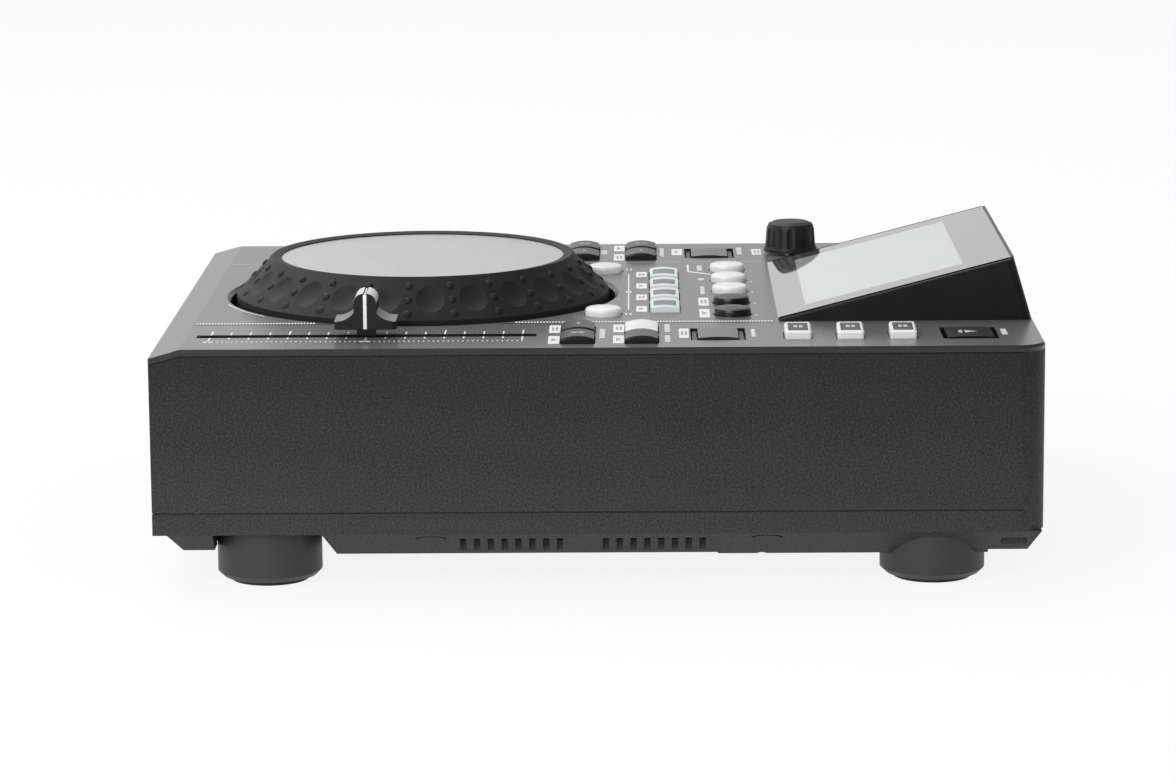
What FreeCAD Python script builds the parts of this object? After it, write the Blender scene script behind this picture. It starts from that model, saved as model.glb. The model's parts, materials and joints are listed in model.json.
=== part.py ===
import FreeCAD, Part
import math
import os
import re
import Sketcher

# Tabletop disc player, in millimetres.
# X runs across the case with the fader side at +X, Y runs from the front to the rear, Z is up.
# The origin is the middle of the footprint, on the surface that the feet stand on.

SIZES = {
    # Case
    "body_width": 216, "body_depth": 283, "top_level": 78, "skirt_level": 18.2, "tray_level": 9.4,
    "wall": 2.5, "rear_corner": 9, "groove_level": 25, "groove_height": 0.5, "groove_depth": 0.5,
    "floor_thickness": 2.5, "bevel_run": 9, "tray_step": 1, "front_lip": 4.2, "front_slope": 6.5,
    "rear_slope": 4.5, "seat_gap": 0.3, "ledge_depth": 6, "ledge_height": 2, "seam_height": 0.4,
    "seam_depth": 0.4,
    # Underside levels from the front to the rear
    "lip_level": 11.8, "middle_level": 9.95, "middle_end_y": 38, "rear_level": 10.6,
    # Top panel with its bent nose
    "panel_thickness": 2, "panel_edge": 0.8, "nose_run": 9.7, "nose_drop": 2.7,
    "jog_hole_bevel": 1.2,
    # Pillars between tray and top panel
    "pillar_radius": 3.6, "pillar_inset": 12.5, "pillar_front_y": -54.6, "pillar_rear_y": 52,
    "rib_thickness": 2, "well_radius": 2.9, "screw_radius": 1.5, "screw_length": 14,
    "screw_head_radius": 2.4, "screw_head_height": 1.8, "well_roof": 2,
    # Feet
    "foot_radius": 16.8, "foot_inset": 20, "foot_front_y": -106, "foot_rear_y": 107, "foot_chamfer": 1.7,
    "sole_radius": 12.4, "sole_height": 1.5, "foot_pocket_gap": 0.3, "foot_roof": 2.5,
    "pocket_front_y": -122.6, "pocket_rear_y": -88, "pocket_run": 4.3,
    # Cooling slots in the tray's bevelled sides
    "vent_width": 2, "vent_pitch": 4.4, "vent_count": 8, "vent_first_y": -44.1, "vent_second_y": 1.3,
    "vent_inset": 8.3, "vent_length": 5.1,
    # Lock recess in the right bevel
    "lock_y": 132, "lock_level": 14, "lock_length": 9.6, "lock_height": 2.8, "lock_end": 1.5,
    "lock_inset": 6.6,
    # Jog wheel
    "jog_y": -60, "jog_hole_radius": 65.2, "jog_skirt_radius": 63, "jog_rim_radius": 51.2,
    "jog_rim_height": 13.8, "jog_skirt_height": 1.2, "jog_skirt_depth": 4.5, "jog_plate_radius": 47.7,
    "jog_plate_height": 13, "jog_plate_thickness": 1.2, "jog_wall": 3, "jog_web": 2.5, "jog_hub_radius": 9,
    "dimple_count": 25, "dimple_radius": 15, "dimple_depth": 1.1, "dimple_height": 7.6, "dimple_turn": 5.2,
    "dish_depth": 8, "dish_wall": 1.5, "dish_flange": 2.8,
    "shaft_radius": 4, "running_gap": 0.05, "bearing_radius": 9, "bearing_flange": 15,
    "bearing_flange_height": 2, "bearing_rise": 3, "bearing_drop": 5,
    "encoder_disc_radius": 20, "encoder_disc_thickness": 1, "encoder_slot_count": 24,
    "encoder_slot_width": 1.2, "encoder_slot_length": 4, "encoder_hub_radius": 6, "encoder_hub_height": 4,
    # Pitch fader
    "fader_inset": 24.3, "fader_y": -74, "fader_slot_width": 1.9, "slot_end_gap": 0.5,
    "fader_travel": 50, "stem_thickness": 1.2, "stem_length": 6.2, "cap_lift": 3.1, "cap_width": 13,
    "cap_half_length": 9.9, "cap_corner": 1.2, "cap_shoulder": 2.7, "cap_neck_half": 3.6,
    "cap_neck_height": 8.6, "cap_side_height": 11.5, "cap_height": 11.6, "cap_groove": 0.5,
    "cap_scoop_radius": 7,
    "track_width": 14, "track_height": 12, "track_length": 114, "track_wall": 1.2, "carriage_width": 8,
    "carriage_length": 9, "carriage_height": 4,
    # Select knob, which turns and is pressed
    "knob_inset": 24, "knob_y": 67.6, "knob_base_radius": 9.5, "knob_top_radius": 8.6, "knob_height": 10.6,
    "knob_skirt": 2, "knob_edge": 2.6, "knob_fold": 0.3, "knob_gap": 1, "flute_count": 12, "flute_radius": 4,
    "flute_depth": 0.4,
    "knob_bore_depth": 7.5, "select_shaft_radius": 3, "select_push": 0.6, "bush_radius": 4.5,
    "bush_rise": 0.5, "select_box": 12, "select_box_height": 6.5,
    # Display housing
    "screen_tilt": 14.5, "screen_front_y": 58.7, "glass_length": 78, "glass_width": 116,
    "glass_thickness": 0.8, "housing_top_half": 58.8, "housing_base_half": 60.4, "housing_lip": 1,
    "housing_rear_y": 141, "housing_wall": 2, "housing_back_wall": 3, "hollow_start": 10,
    "housing_corner": 3, "display_width": 106, "display_length": 64, "display_start": 5,
    "display_thickness": 3, "display_gap": 0.3,
    # Keys
    "key_gap": 0.4, "key_lip": 0.5, "key_seat": 0.25, "flange_thickness": 1.2, "key_travel": 0.8,
    "pair_length": 14.4, "pair_width": 10.4, "pair_side": 1.5, "pair_crown": 2.5, "pair_inner_inset": 31.8,
    "pair_outer_inset": 14.7, "pair_front_y": -6.3, "pair_rear_y": 14, "key_round": 0.6,
    "pad_length": 17.5, "pad_width": 9.6, "pad_side": 1.3, "pad_crown": 1.9, "pad_pitch": 22, "pad_y": 21.8,
    "pad_window_length": 10, "pad_window_width": 7.4, "pad_window_depth": 0.3,
    "round_radius": 6, "round_height": 2.4, "round_crown": 0.4, "round_edge": 1, "round_fold": 0.3,
    "round_x": 44.5, "round_y": 1.5, "column_pitch": 23, "column_y": 44,
    "mode_length": 17.5, "mode_width": 12.8, "mode_side": 0.3, "mode_crown": 0.7, "mode_inset": 24,
    "mode_y": 38.4, "mode_well": 2,
    "square_length": 12, "square_width": 8.4, "square_side": 2.4, "square_crown": 3.5, "square_inset": 20.5,
    "square_y": 63.8, "square_pitch": 16.7, "square_window_length": 9.4, "square_window_width": 6.4,
    "square_window_depth": 0.3, "square_corner": 0.9, "square_edge": 0.5,
    "eject_length": 18, "eject_width": 15, "eject_side": 0.2, "eject_crown": 0.5, "eject_inset": 24,
    "eject_y": 118.6, "eject_well": 1,
    # Control board under the top panel
    "switch_size": 6, "switch_height": 3.4, "plunger_size": 3, "plunger_height": 0.9, "plunger_gap": 0.3,
    "board_thickness": 1.6, "board_inset": 11, "board_front_y": -12.4, "board_rear_y": 124,
    "board_jog_radius": 69.5, "board_notch_radius": 5.5, "stud_radius": 2.6, "stud_x": 63,
    "stud_front_y": 14, "stud_rear_y": 112,
    # Disc slot in the front wall
    "slot_level": 46, "slot_width": 126, "slot_height": 5.6, "bezel_width": 137, "bezel_height": 15,
    "bezel_gap": 0.2, "bezel_lead": 1.6, "bezel_flange": 3, "bezel_flange_thickness": 2,
    # Disc drive
    "drive_half_width": 68.5, "drive_setback": 9.5, "drive_rear_y": 18, "drive_floor": 32,
    "drive_top": 53, "sheet": 1.2, "drive_leg_radius": 3.5, "drive_leg_x": 58, "leg_setback": 20,
    "drive_leg_rear_y": 2, "spindle_y": -60, "motor_radius": 13, "motor_height": 6,
    "turntable_radius": 15, "turntable_gap": 0.5, "turntable_thickness": 1.6, "turntable_hub_radius": 7.3,
    "turntable_hub_height": 0.7, "spindle_radius": 1.5, "spindle_length": 4,
    "rail_radius": 1.5, "rail_x": 12, "rail_level": 37.5, "rail_front_y": -43,
    "rail_block": 6, "sled_width": 34, "sled_length": 18, "sled_height": 5, "sled_gap": 0.4, "lens_radius": 2,
    "lens_height": 1.2, "sled_travel": 35, "roller_setback": 14, "roller_level": 39.4, "roller_radius": 3.6,
    "roller_half": 64, "journal_radius": 1.5, "clamp_radius": 16,
    # Boards and power supply
    "main_inset": 48, "main_front_y": 30, "main_rear_y": 120, "main_level": 20, "main_post_radius": 3,
    "main_post_inset": 6, "chip_size": 16, "chip_height": 1.4, "heat_sink_height": 7,
    "supply_inset": 31.5, "supply_y": 62, "supply_width": 28, "supply_length": 78, "supply_height": 26,
    "supply_level": 22,
    # Rear connectors
    "jack_width": 176, "jack_height": 34, "jack_level": 46, "jack_thickness": 1.5, "jack_inset": 10,
    "jack_flange": 4, "phono_x": 62, "phono_pitch": 17, "phono_radius": 4.2, "phono_length": 9,
    "phono_bore": 1.8, "phono_base_radius": 6, "phono_base": 1.5, "usb_x": 5, "usb_width": 12,
    "usb_height": 11, "usb_wall": 0.8, "usb_length": 12, "usb_tongue": 3,
    "inlet_x": -40, "inlet_width": 26, "inlet_height": 19, "inlet_depth": 14, "inlet_wall": 1.6,
    "inlet_pin": 2.2, "inlet_pin_half": 5.5,
    "switch_x": -72, "rocker_width": 9.4, "rocker_radius": 8.3, "rocker_depth": 3.5, "rocker_angle": 16,
    "rocker_gap": 0.3, "rocker_axle": 1.5, "rocker_ear": 2, "rocker_ear_half": 4,
}

# Sizes that follow from others, so that what stands near a side or an end moves with it
DERIVED = {
    "pillar_x": "=body_width / 2 - pillar_inset",
    "foot_x": "=body_width / 2 - foot_inset",
    "vent_inner": "=body_width / 2 - vent_inset",
    "vent_outer": "=vent_inner + vent_length",
    "fader_x": "=body_width / 2 - fader_inset",
    "fader_slot_length": "=2 * fader_travel + stem_length + 2 * slot_end_gap",
    "knob_x": "=knob_inset - body_width / 2",
    "pair_inner_x": "=body_width / 2 - pair_inner_inset",
    "pair_outer_x": "=body_width / 2 - pair_outer_inset",
    "mode_x": "=body_width / 2 - mode_inset",
    "square_x": "=body_width / 2 - square_inset",
    "eject_x": "=body_width / 2 - eject_inset",
    "board_half_width": "=body_width / 2 - board_inset",
    "main_half_width": "=body_width / 2 - main_inset",
    "supply_x": "=supply_inset - body_width / 2",
    "drive_front_y": "=drive_setback - body_depth / 2",
    "drive_leg_front_y": "=drive_front_y + leg_setback",
    "roller_y": "=drive_front_y + roller_setback",
    "rail_rear_y": "=rail_front_y + rail_block / 3 + 2 * sled_gap + sled_length + sled_travel",
}

doc = FreeCAD.newDocument("disc_player")
sheet = doc.addObject("Spreadsheet::Sheet", "Sizes")
for row, (alias, size) in enumerate((SIZES | DERIVED).items(), start=1):
    sheet.set("A%d" % row, alias)
    sheet.set("B%d" % row, str(size))
    sheet.setAlias("B%d" % row, alias)
doc.recompute()

parts = []


def full(text):
    """The text of a size or formula, with each size name pointing into the sheet."""
    known = SIZES | DERIVED

    def pointed(word):
        return "Sizes." + word.group() if word.group() in known else word.group()

    return re.sub(r"[a-z][a-z_]*", pointed, str(text))


def number(text):
    """The present value of a size or formula."""
    return float(sheet.evalExpression(full(text)))


def minus(text):
    return "-(" + str(text) + ")"


def bind(thing, path, text):
    thing.setExpression(path, full(text))


def place(thing, x="0", y="0", z="0"):
    bind(thing, "Placement.Base.x", x)
    bind(thing, "Placement.Base.y", y)
    bind(thing, "Placement.Base.z", z)


def new_body(label, x="0", y="0", z="0"):
    body = doc.addObject("PartDesign::Body", label)
    body.Label = label
    place(body, x, y, z)
    parts.append(body)
    return body


def origin_feature(body, role):
    return next(feature for feature in body.Origin.OriginFeatures if feature.Role == role)


def new_sketch(body, name, plane, level):
    sketch = body.newObject("Sketcher::SketchObject", name)
    sketch.AttachmentSupport = [(origin_feature(body, plane), "")]
    sketch.MapMode = "FlatFace"
    bind(sketch, "AttachmentOffset.Base.z", level)
    return sketch


def constrain(sketch, text, *constraint):
    """A dimension of a sketch, driven by a size or formula."""
    index = sketch.addConstraint(Sketcher.Constraint(*constraint, number(text)))
    bind(sketch, "Constraints[%d]" % index, text)


def arc_middle(start, end, radius):
    """Point halfway along an arc that bulges to the left of its way if the radius is positive."""
    chord = end - start
    half = chord.Length / 2
    rise = abs(radius) - math.sqrt(max(radius * radius - half * half, 0))
    left = FreeCAD.Vector(-chord.y, chord.x, 0).normalize()
    return (start + end) * 0.5 + left * math.copysign(rise, radius)


def add_loop(sketch, corners):
    """Closed outline. A corner is (x, y) or (x, y, radius of the arc that leads to the next corner)."""
    spots = [FreeCAD.Vector(number(corner[0]), number(corner[1]), 0) for corner in corners]
    first = sketch.GeometryCount
    ends = []
    for index, corner in enumerate(corners):
        start = spots[index]
        end = spots[(index + 1) % len(spots)]
        if len(corner) == 2:
            sketch.addGeometry(Part.LineSegment(start, end), False)
            ends.append((1, 2))
            continue
        radius = number(corner[2])
        sketch.addGeometry(Part.Arc(start, arc_middle(start, end, radius), end), False)
        # A sketch keeps arcs anticlockwise, so one that bulges to the right of its way starts first.
        ends.append((2, 1) if radius > 0 else (1, 2))
        constrain(sketch, "abs(" + str(corner[2]) + ")", "Radius", first + index)
    for index, corner in enumerate(corners):
        following = (index + 1) % len(corners)
        sketch.addConstraint(Sketcher.Constraint(
            "Coincident", first + index, ends[index][1], first + following, ends[following][0]))
        constrain(sketch, corner[0], "DistanceX", -1, 1, first + index, ends[index][0])
        constrain(sketch, corner[1], "DistanceY", -1, 1, first + index, ends[index][0])


def add_circle(sketch, radius, x="0", y="0"):
    centre = FreeCAD.Vector(number(x), number(y), 0)
    index = sketch.addGeometry(Part.Circle(centre, FreeCAD.Vector(0, 0, 1), number(radius)), False)
    constrain(sketch, radius, "Radius", index)
    constrain(sketch, x, "DistanceX", -1, 1, index, 3)
    constrain(sketch, y, "DistanceY", -1, 1, index, 3)


def box_loop(left, right, low, high):
    return [(left, low), (right, low), (right, high), (left, high)]


def centred_box(length, width, x="0", y="0"):
    left = "%s - (%s) / 2" % (x, length)
    right = "%s + (%s) / 2" % (x, length)
    low = "%s - (%s) / 2" % (y, width)
    high = "%s + (%s) / 2" % (y, width)
    return box_loop(left, right, low, high)


def rear_rounded(half, front, rear, radius):
    """Outline with square front corners and rounded rear ones."""
    return [(minus(half), front), (half, front), (half, "%s - %s" % (rear, radius), minus(radius)),
            ("%s - %s" % (half, radius), rear), ("-(%s - %s)" % (half, radius), rear, minus(radius)),
            (minus(half), "%s - %s" % (rear, radius))]


def draw(body, name, plane, loops=(), circles=(), level="0"):
    """Sketch on or above one of the body's own planes, with closed loops and circles."""
    sketch = new_sketch(body, name, plane, level)
    for loop in loops:
        add_loop(sketch, loop)
    for circle in circles:
        add_circle(sketch, *circle)
    doc.recompute()
    return sketch


def pad(body, name, sketch, length, middle=False, back=False):
    feature = body.newObject("PartDesign::Pad", name)
    feature.Profile = sketch
    bind(feature, "Length", length)
    feature.SideType = "Symmetric" if middle else "One side"
    feature.Reversed = back
    doc.recompute()
    return feature


def pocket(body, name, sketch, length, middle=False, back=False):
    before = body.Shape.Volume
    feature = body.newObject("PartDesign::Pocket", name)
    feature.Profile = sketch
    bind(feature, "Length", length)
    feature.SideType = "Symmetric" if middle else "One side"
    feature.Reversed = back
    doc.recompute()
    if not feature.Shape.isValid() or feature.Shape.Volume > before - 1e-6:
        raise RuntimeError("%s of %s cuts nothing" % (name, body.Label))
    return feature


def turn(body, name, sketch):
    feature = body.newObject("PartDesign::Revolution", name)
    feature.Profile = sketch
    feature.ReferenceAxis = (sketch, ["V_Axis"])
    feature.Angle = 360
    doc.recompute()
    return feature


def around(body, name, feature, count):
    """Copies of a feature around the body's own upright axis."""
    pattern = body.newObject("PartDesign::PolarPattern", name)
    pattern.Originals = [feature]
    pattern.Axis = (origin_feature(body, "Z_Axis"), [""])
    pattern.Angle = 360
    bind(pattern, "Occurrences", count)
    body.Tip = pattern
    doc.recompute()
    return pattern


def along(body, name, feature, role, length, count):
    """Copies of a feature along one of the body's own axes, over the length given."""
    pattern = body.newObject("PartDesign::LinearPattern", name)
    pattern.Originals = [feature]
    pattern.Direction = (origin_feature(body, role), [""])
    bind(pattern, "Length", length)
    bind(pattern, "Occurrences", count)
    body.Tip = pattern
    doc.recompute()
    return pattern


def edge_names(feature, test):
    return ["Edge%d" % index for index, edge in enumerate(feature.Shape.Edges, start=1) if test(edge)]


def dress(kind, body, name, feature, test, size):
    """Fillet or Chamfer on the edges of a feature that pass a test."""
    result = body.newObject("PartDesign::" + kind, name)
    result.Base = (feature, edge_names(feature, test))
    bind(result, "Radius" if kind == "Fillet" else "Size", size)
    doc.recompute()
    return result


def shell(body, name, feature, test, thickness):
    """Hollow of even thickness, open at the faces that pass a test."""
    result = body.newObject("PartDesign::Thickness", name)
    faces = ["Face%d" % index for index, face in enumerate(feature.Shape.Faces, start=1) if test(face)]
    result.Base = (feature, faces)
    result.Reversed = True
    result.Join = "Intersection"
    bind(result, "Value", thickness)
    doc.recompute()
    return result


def is_upright(edge):
    first, last = edge.Vertexes[0].Point, edge.Vertexes[-1].Point
    return abs(first.x - last.x) < 1e-4 and abs(first.y - last.y) < 1e-4 and abs(first.z - last.z) > 1e-4


def middle_of(edge):
    return edge.valueAt((edge.FirstParameter + edge.LastParameter) / 2)


def is_circle(edge, radius):
    return abs(getattr(edge.Curve, "Radius", 0) - radius) < 0.01


def new_group(label, members):
    """Several separate solids of one node."""
    group = doc.addObject("Part::Compound", label)
    group.Label = label
    group.Links = members
    parts.append(group)
    doc.recompute()
    return group


def new_block(name, length, width, height, x, y, z):
    """Box whose footprint is centred on x and y, standing on z."""
    block = doc.addObject("Part::Box", name)
    bind(block, "Length", length)
    bind(block, "Width", width)
    bind(block, "Height", height)
    place(block, "%s - (%s) / 2" % (x, length), "%s - (%s) / 2" % (y, width), z)
    return block


def new_rod(name, radius, height, x, y, z):
    rod = doc.addObject("Part::Cylinder", name)
    bind(rod, "Radius", radius)
    bind(rod, "Height", height)
    place(rod, x, y, z)
    return rod


HALF_WIDTH = "body_width / 2"
HALF_DEPTH = "body_depth / 2"
PANEL_UNDER = "top_level - panel_thickness"
SIDES = {"right": 1, "left": -1}
EVERYTHING = "4 * body_depth"


def on_side(side, text):
    return text if SIDES[side] > 0 else minus(text)


def key_cut(length, width, well="0"):
    return "%s + 2 * key_gap + 2 * %s" % (length, well), "%s + 2 * key_gap + 2 * %s" % (width, well)


def key_places():
    """Every key: name, kind, x, y."""
    places = []
    for side in SIDES:
        for row, y in (("front", "pair_front_y"), ("rear", "pair_rear_y")):
            places.append(("%s_%s_outer_key" % (side, row), "pair", on_side(side, "pair_outer_x"), y))
            places.append(("%s_%s_inner_key" % (side, row), "pair", on_side(side, "pair_inner_x"), y))
        places.append((side + "_round_key", "round", on_side(side, "round_x"), "round_y"))
        places.append((side + "_mode_key", "mode", on_side(side, "mode_x"), "mode_y"))
    for index in range(4):
        places.append(("pad_key_%d" % (index + 1), "pad", "%g * pad_pitch" % (index - 1.5), "pad_y"))
    for index in range(5):
        places.append(("track_key_%d" % (index + 1), "round", "%d * column_pitch" % (index - 2), "column_y"))
    for index in range(3):
        y = "square_y + %d * square_pitch" % index
        places.append(("source_key_%d" % (index + 1), "square", "square_x", y))
    places.append(("eject_key", "eject", "eject_x", "eject_y"))
    return places


# Each kind of flat-sided key: length in X, width in Y, height of its side and of its crown, well round it.
FLAT_KEYS = {
    "pair": ("pair_length", "pair_width", "pair_side", "pair_crown", "0"),
    "pad": ("pad_length", "pad_width", "pad_side", "pad_crown", "0"),
    "mode": ("mode_length", "mode_width", "mode_side", "mode_crown", "mode_well"),
    "square": ("square_length", "square_width", "square_side", "square_crown", "0"),
    "eject": ("eject_length", "eject_width", "eject_side", "eject_crown", "eject_well"),
}

def make_upper_case():
    """Side walls, front wall with the disc opening and rear wall with the connector opening."""
    body = new_body("upper_case")
    outer = draw(body, "case_outline", "XY_Plane",
                 [rear_rounded(HALF_WIDTH, minus(HALF_DEPTH), HALF_DEPTH, "rear_corner")],
                 level="skirt_level")
    pad(body, "case_block", outer, "top_level - panel_thickness - skirt_level")
    inside = draw(body, "case_inside", "XY_Plane",
                  [rear_rounded(HALF_WIDTH + " - wall", minus(HALF_DEPTH + " - wall"), HALF_DEPTH + " - wall",
                                "(rear_corner - wall)")],
                  level="top_level")
    pocket(body, "case_hollow", inside, "top_level - skirt_level + wall")
    ledge = draw(body, "ledge_outline", "XY_Plane", [box_loop(
        minus(HALF_WIDTH + " - wall / 2"), HALF_WIDTH + " - wall / 2", minus(HALF_DEPTH + " - wall / 2"),
        "ledge_depth - " + HALF_DEPTH + " + wall")], level="skirt_level")
    pad(body, "front_ledge", ledge, "ledge_height")
    low = "top_level - nose_drop - panel_thickness"
    nose = draw(body, "nose_cut", "YZ_Plane", [[
        (minus(HALF_DEPTH), low), ("nose_run - " + HALF_DEPTH, PANEL_UNDER),
        ("nose_run - " + HALF_DEPTH, "top_level"), (minus(HALF_DEPTH + " + wall"), "top_level"),
        (minus(HALF_DEPTH + " + wall"), low)]])
    pocket(body, "nose_clearance", nose, EVERYTHING, middle=True)
    for side in SIDES:
        seam = draw(body, "seam_%s_section" % side, "YZ_Plane", [[
            (minus(HALF_DEPTH), low + " - seam_height"),
            ("nose_run - " + HALF_DEPTH, PANEL_UNDER + " - seam_height"),
            (HALF_DEPTH, PANEL_UNDER + " - seam_height"), (HALF_DEPTH, "top_level"),
            (minus(HALF_DEPTH), "top_level")]], level=on_side(side, "(body_width / 2 - seam_depth)"))
        pocket(body, "seam_" + side, seam, "wall", back=SIDES[side] > 0)
    groove_out = draw(body, "groove_outline", "XY_Plane", [
        centred_box("body_width - 2 * groove_depth", "body_depth - 2 * groove_depth"),
        centred_box("body_width + 2 * wall", "body_depth + 2 * wall")],
        level="groove_level + groove_height")
    pocket(body, "skirt_groove", groove_out, "groove_height")
    front = draw(body, "bezel_opening", "XZ_Plane",
                 [centred_box("bezel_width", "bezel_height", "0", "slot_level")],
                 level=HALF_DEPTH + " - wall / 2")
    pocket(body, "front_opening", front, "2 * wall", middle=True)
    back = draw(body, "jack_opening", "XZ_Plane",
                [centred_box("jack_width", "jack_height", "0", "jack_level")],
                level="wall / 2 - " + HALF_DEPTH)
    pocket(body, "rear_opening", back, "2 * wall", middle=True)
    circles = []
    ribs = []
    for side in SIDES:
        for y in ("pillar_front_y", "pillar_rear_y"):
            circles.append(("pillar_radius", on_side(side, "pillar_x"), y))
            inner = on_side(side, "pillar_x")
            outer_edge = on_side(side, HALF_WIDTH + " - wall / 2")
            ends = (inner, outer_edge) if SIDES[side] > 0 else (outer_edge, inner)
            ribs.append(box_loop(ends[0], ends[1], y + " - rib_thickness / 2", y + " + rib_thickness / 2"))
    rib_sketch = draw(body, "pillar_ribs", "XY_Plane", ribs, level="skirt_level")
    pad(body, "ribs", rib_sketch, "top_level - panel_thickness - skirt_level")
    pillar_sketch = draw(body, "pillar_rounds", "XY_Plane", (), circles, level="skirt_level")
    pad(body, "pillars", pillar_sketch, "top_level - panel_thickness - skirt_level")
    bores = [("screw_radius", circle[1], circle[2]) for circle in circles]
    bore_sketch = draw(body, "pillar_bores", "XY_Plane", (), bores, level="skirt_level")
    pocket(body, "screw_bores", bore_sketch, "screw_length", back=True)


def make_top_panel():
    """Folded plate with a sloping nose, and a cut-out for everything that comes through it."""
    body = new_body("top_panel")
    nose = "nose_run - " + HALF_DEPTH
    section = draw(body, "panel_section", "YZ_Plane", [[
        (minus(HALF_DEPTH), "top_level - nose_drop - panel_thickness"), (nose, PANEL_UNDER),
        (HALF_DEPTH, PANEL_UNDER), (HALF_DEPTH, "top_level"), (nose, "top_level"),
        (minus(HALF_DEPTH), "top_level - nose_drop")]])
    plate = pad(body, "panel_plate", section, "body_width", middle=True)
    rear = number(HALF_DEPTH)
    rounded = dress("Fillet", body, "panel_corners", plate,
                    lambda edge: is_upright(edge) and middle_of(edge).y > rear - 0.01, "rear_corner")
    side = number(HALF_WIDTH)
    top = number("top_level")
    dress("Chamfer", body, "panel_edges", rounded,
          lambda edge: abs(abs(middle_of(edge).x) - side) < 0.01 and abs(middle_of(edge).z - top) < 0.01,
          "panel_edge")
    circles = [("jog_hole_radius", "0", "jog_y"), ("bush_radius + key_gap", "knob_x", "knob_y")]
    loops = [centred_box("fader_slot_width", "fader_slot_length", "fader_x", "fader_y"),
             box_loop("-display_width / 2", "display_width / 2", slope_point("display_start", "0")[0],
                      slope_point("display_start + display_length / 2", "0")[0])]
    for name, kind, x, y in key_places():
        if kind == "round":
            circles.append(("round_radius + key_gap", x, y))
            continue
        length, width, *_, well = FLAT_KEYS[kind]
        loops.append(centred_box(*key_cut(length, width, well), x, y))
    rounds = draw(body, "round_cutouts", "XY_Plane", (), circles, level="top_level + wall")
    holes = pocket(body, "round_holes", rounds, "panel_thickness + 2 * wall")
    jog_radius = number("jog_hole_radius")
    dress("Chamfer", body, "jog_hole_edge", holes,
          lambda edge: is_circle(edge, jog_radius) and middle_of(edge).z > top - 0.01, "jog_hole_bevel")
    for index in range(0, len(loops), 5):
        sketch = draw(body, "cutouts_%d" % index, "XY_Plane", loops[index:index + 5],
                      level="top_level + wall")
        pocket(body, "holes_%d" % index, sketch, "panel_thickness + 2 * wall")
    studs = [("stud_radius", on_side(side, "stud_x"), y)
             for side in SIDES for y in ("stud_front_y", "stud_rear_y")]
    stud_sketch = draw(body, "board_studs", "XY_Plane", (), studs, level=PANEL_UNDER)
    pad(body, "studs", stud_sketch, PANEL_UNDER + " - " + BOARD_TOP, back=True)


BOARD_TOP = ("(top_level - panel_thickness - key_seat - flange_thickness - key_travel"
             " - plunger_gap - plunger_height - switch_height)")


def make_flat_key(name, kind, x, y):
    """Key with an arched top, and under the panel a flange that keeps it from coming out."""
    length, width, side_height, crown, well = FLAT_KEYS[kind]
    body = new_body(name, x, y, "top_level")
    flange_top = "-(panel_thickness + key_seat)"
    low = flange_top + " - flange_thickness"
    cut_length, cut_width = key_cut(length, width, well)
    flange = draw(body, "flange_outline", "XY_Plane",
                  [centred_box(cut_length + " + 2 * key_lip", cut_width + " + 2 * key_lip")],
                  level=low)
    pad(body, "flange", flange, "flange_thickness")
    rise = "(%s - %s)" % (crown, side_height)
    radius = "-(((%s) / 2) ^ 2 + %s ^ 2) / (2 * %s)" % (width, rise, rise)
    half = "(%s) / 2" % width
    section = draw(body, "key_section", "YZ_Plane", [[
        (minus(half), low), (half, low), (half, side_height, radius), (minus(half), side_height)]])
    block = pad(body, "key_block", section, length, middle=True)
    if kind == "pair":
        high = number(side_height) - 0.01
        end = number(length) / 2
        dress("Chamfer", body, "key_ends", block,
              lambda edge: middle_of(edge).z > high and abs(abs(middle_of(edge).x) - end) < 0.01, "key_round")
    if kind == "pad":
        window = draw(body, "window_outline", "XY_Plane",
                      [centred_box("pad_window_length", "pad_window_width")],
                      level=crown)
        pocket(body, "window", window, rise + " + pad_window_depth")


def make_sloped_key(name, x, y):
    """Square key whose top slopes towards the side of the case, with a sunk window in it."""
    body = new_body(name, x, y, "top_level")
    flange_top = "-(panel_thickness + key_seat)"
    low = flange_top + " - flange_thickness"
    cut_length, cut_width = key_cut("square_length", "square_width")
    flange = draw(body, "flange_outline", "XY_Plane",
                  [centred_box(cut_length + " + 2 * key_lip", cut_width + " + 2 * key_lip")],
                  level=low)
    pad(body, "flange", flange, "flange_thickness")
    half = "square_length / 2"
    section = draw(body, "key_section", "XZ_Plane", [[
        (minus(half), low), (half, low), (half, "square_side"), (minus(half), "square_crown")]])
    block = pad(body, "key_block", section, "square_width", middle=True)
    rounded = dress("Fillet", body, "key_corners", block,
                    lambda edge: is_upright(edge) and middle_of(edge).z > number(flange_top), "square_corner")
    high = number("square_side") - 0.01
    dress("Chamfer", body, "key_edges", rounded, lambda edge: middle_of(edge).z > high, "square_edge")

    def top_at(place_x):
        return "square_side + (square_crown - square_side) * (%s - (%s)) / square_length" % (half, place_x)

    window_half = "square_window_length / 2"
    ends = (minus(window_half), window_half)
    window = draw(body, "window_section", "XZ_Plane", [[
        (ends[0], top_at(ends[0]) + " - square_window_depth"),
        (ends[1], top_at(ends[1]) + " - square_window_depth"),
        (ends[1], "square_crown + wall"), (ends[0], "square_crown + wall")]])
    pocket(body, "window", window, "square_window_width", middle=True)


def make_round_key(name, x, y):
    """Round key with a folded edge and a top that rises slightly to its middle."""
    body = new_body(name, x, y, "top_level")
    flange_top = "-(panel_thickness + key_seat)"
    low = flange_top + " - flange_thickness"
    lip = "round_radius + key_gap + key_lip"
    section = draw(body, "key_section", "XZ_Plane", [[
        ("0", low), (lip, low), (lip, flange_top), ("round_radius", flange_top),
        ("round_radius", "round_height - round_edge"),
        ("round_radius - round_edge * round_fold", "round_height - round_edge * round_fold"),
        ("round_radius - round_edge", "round_height"), ("0", "round_height + round_crown")]])
    turn(body, "key_form", section)


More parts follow.
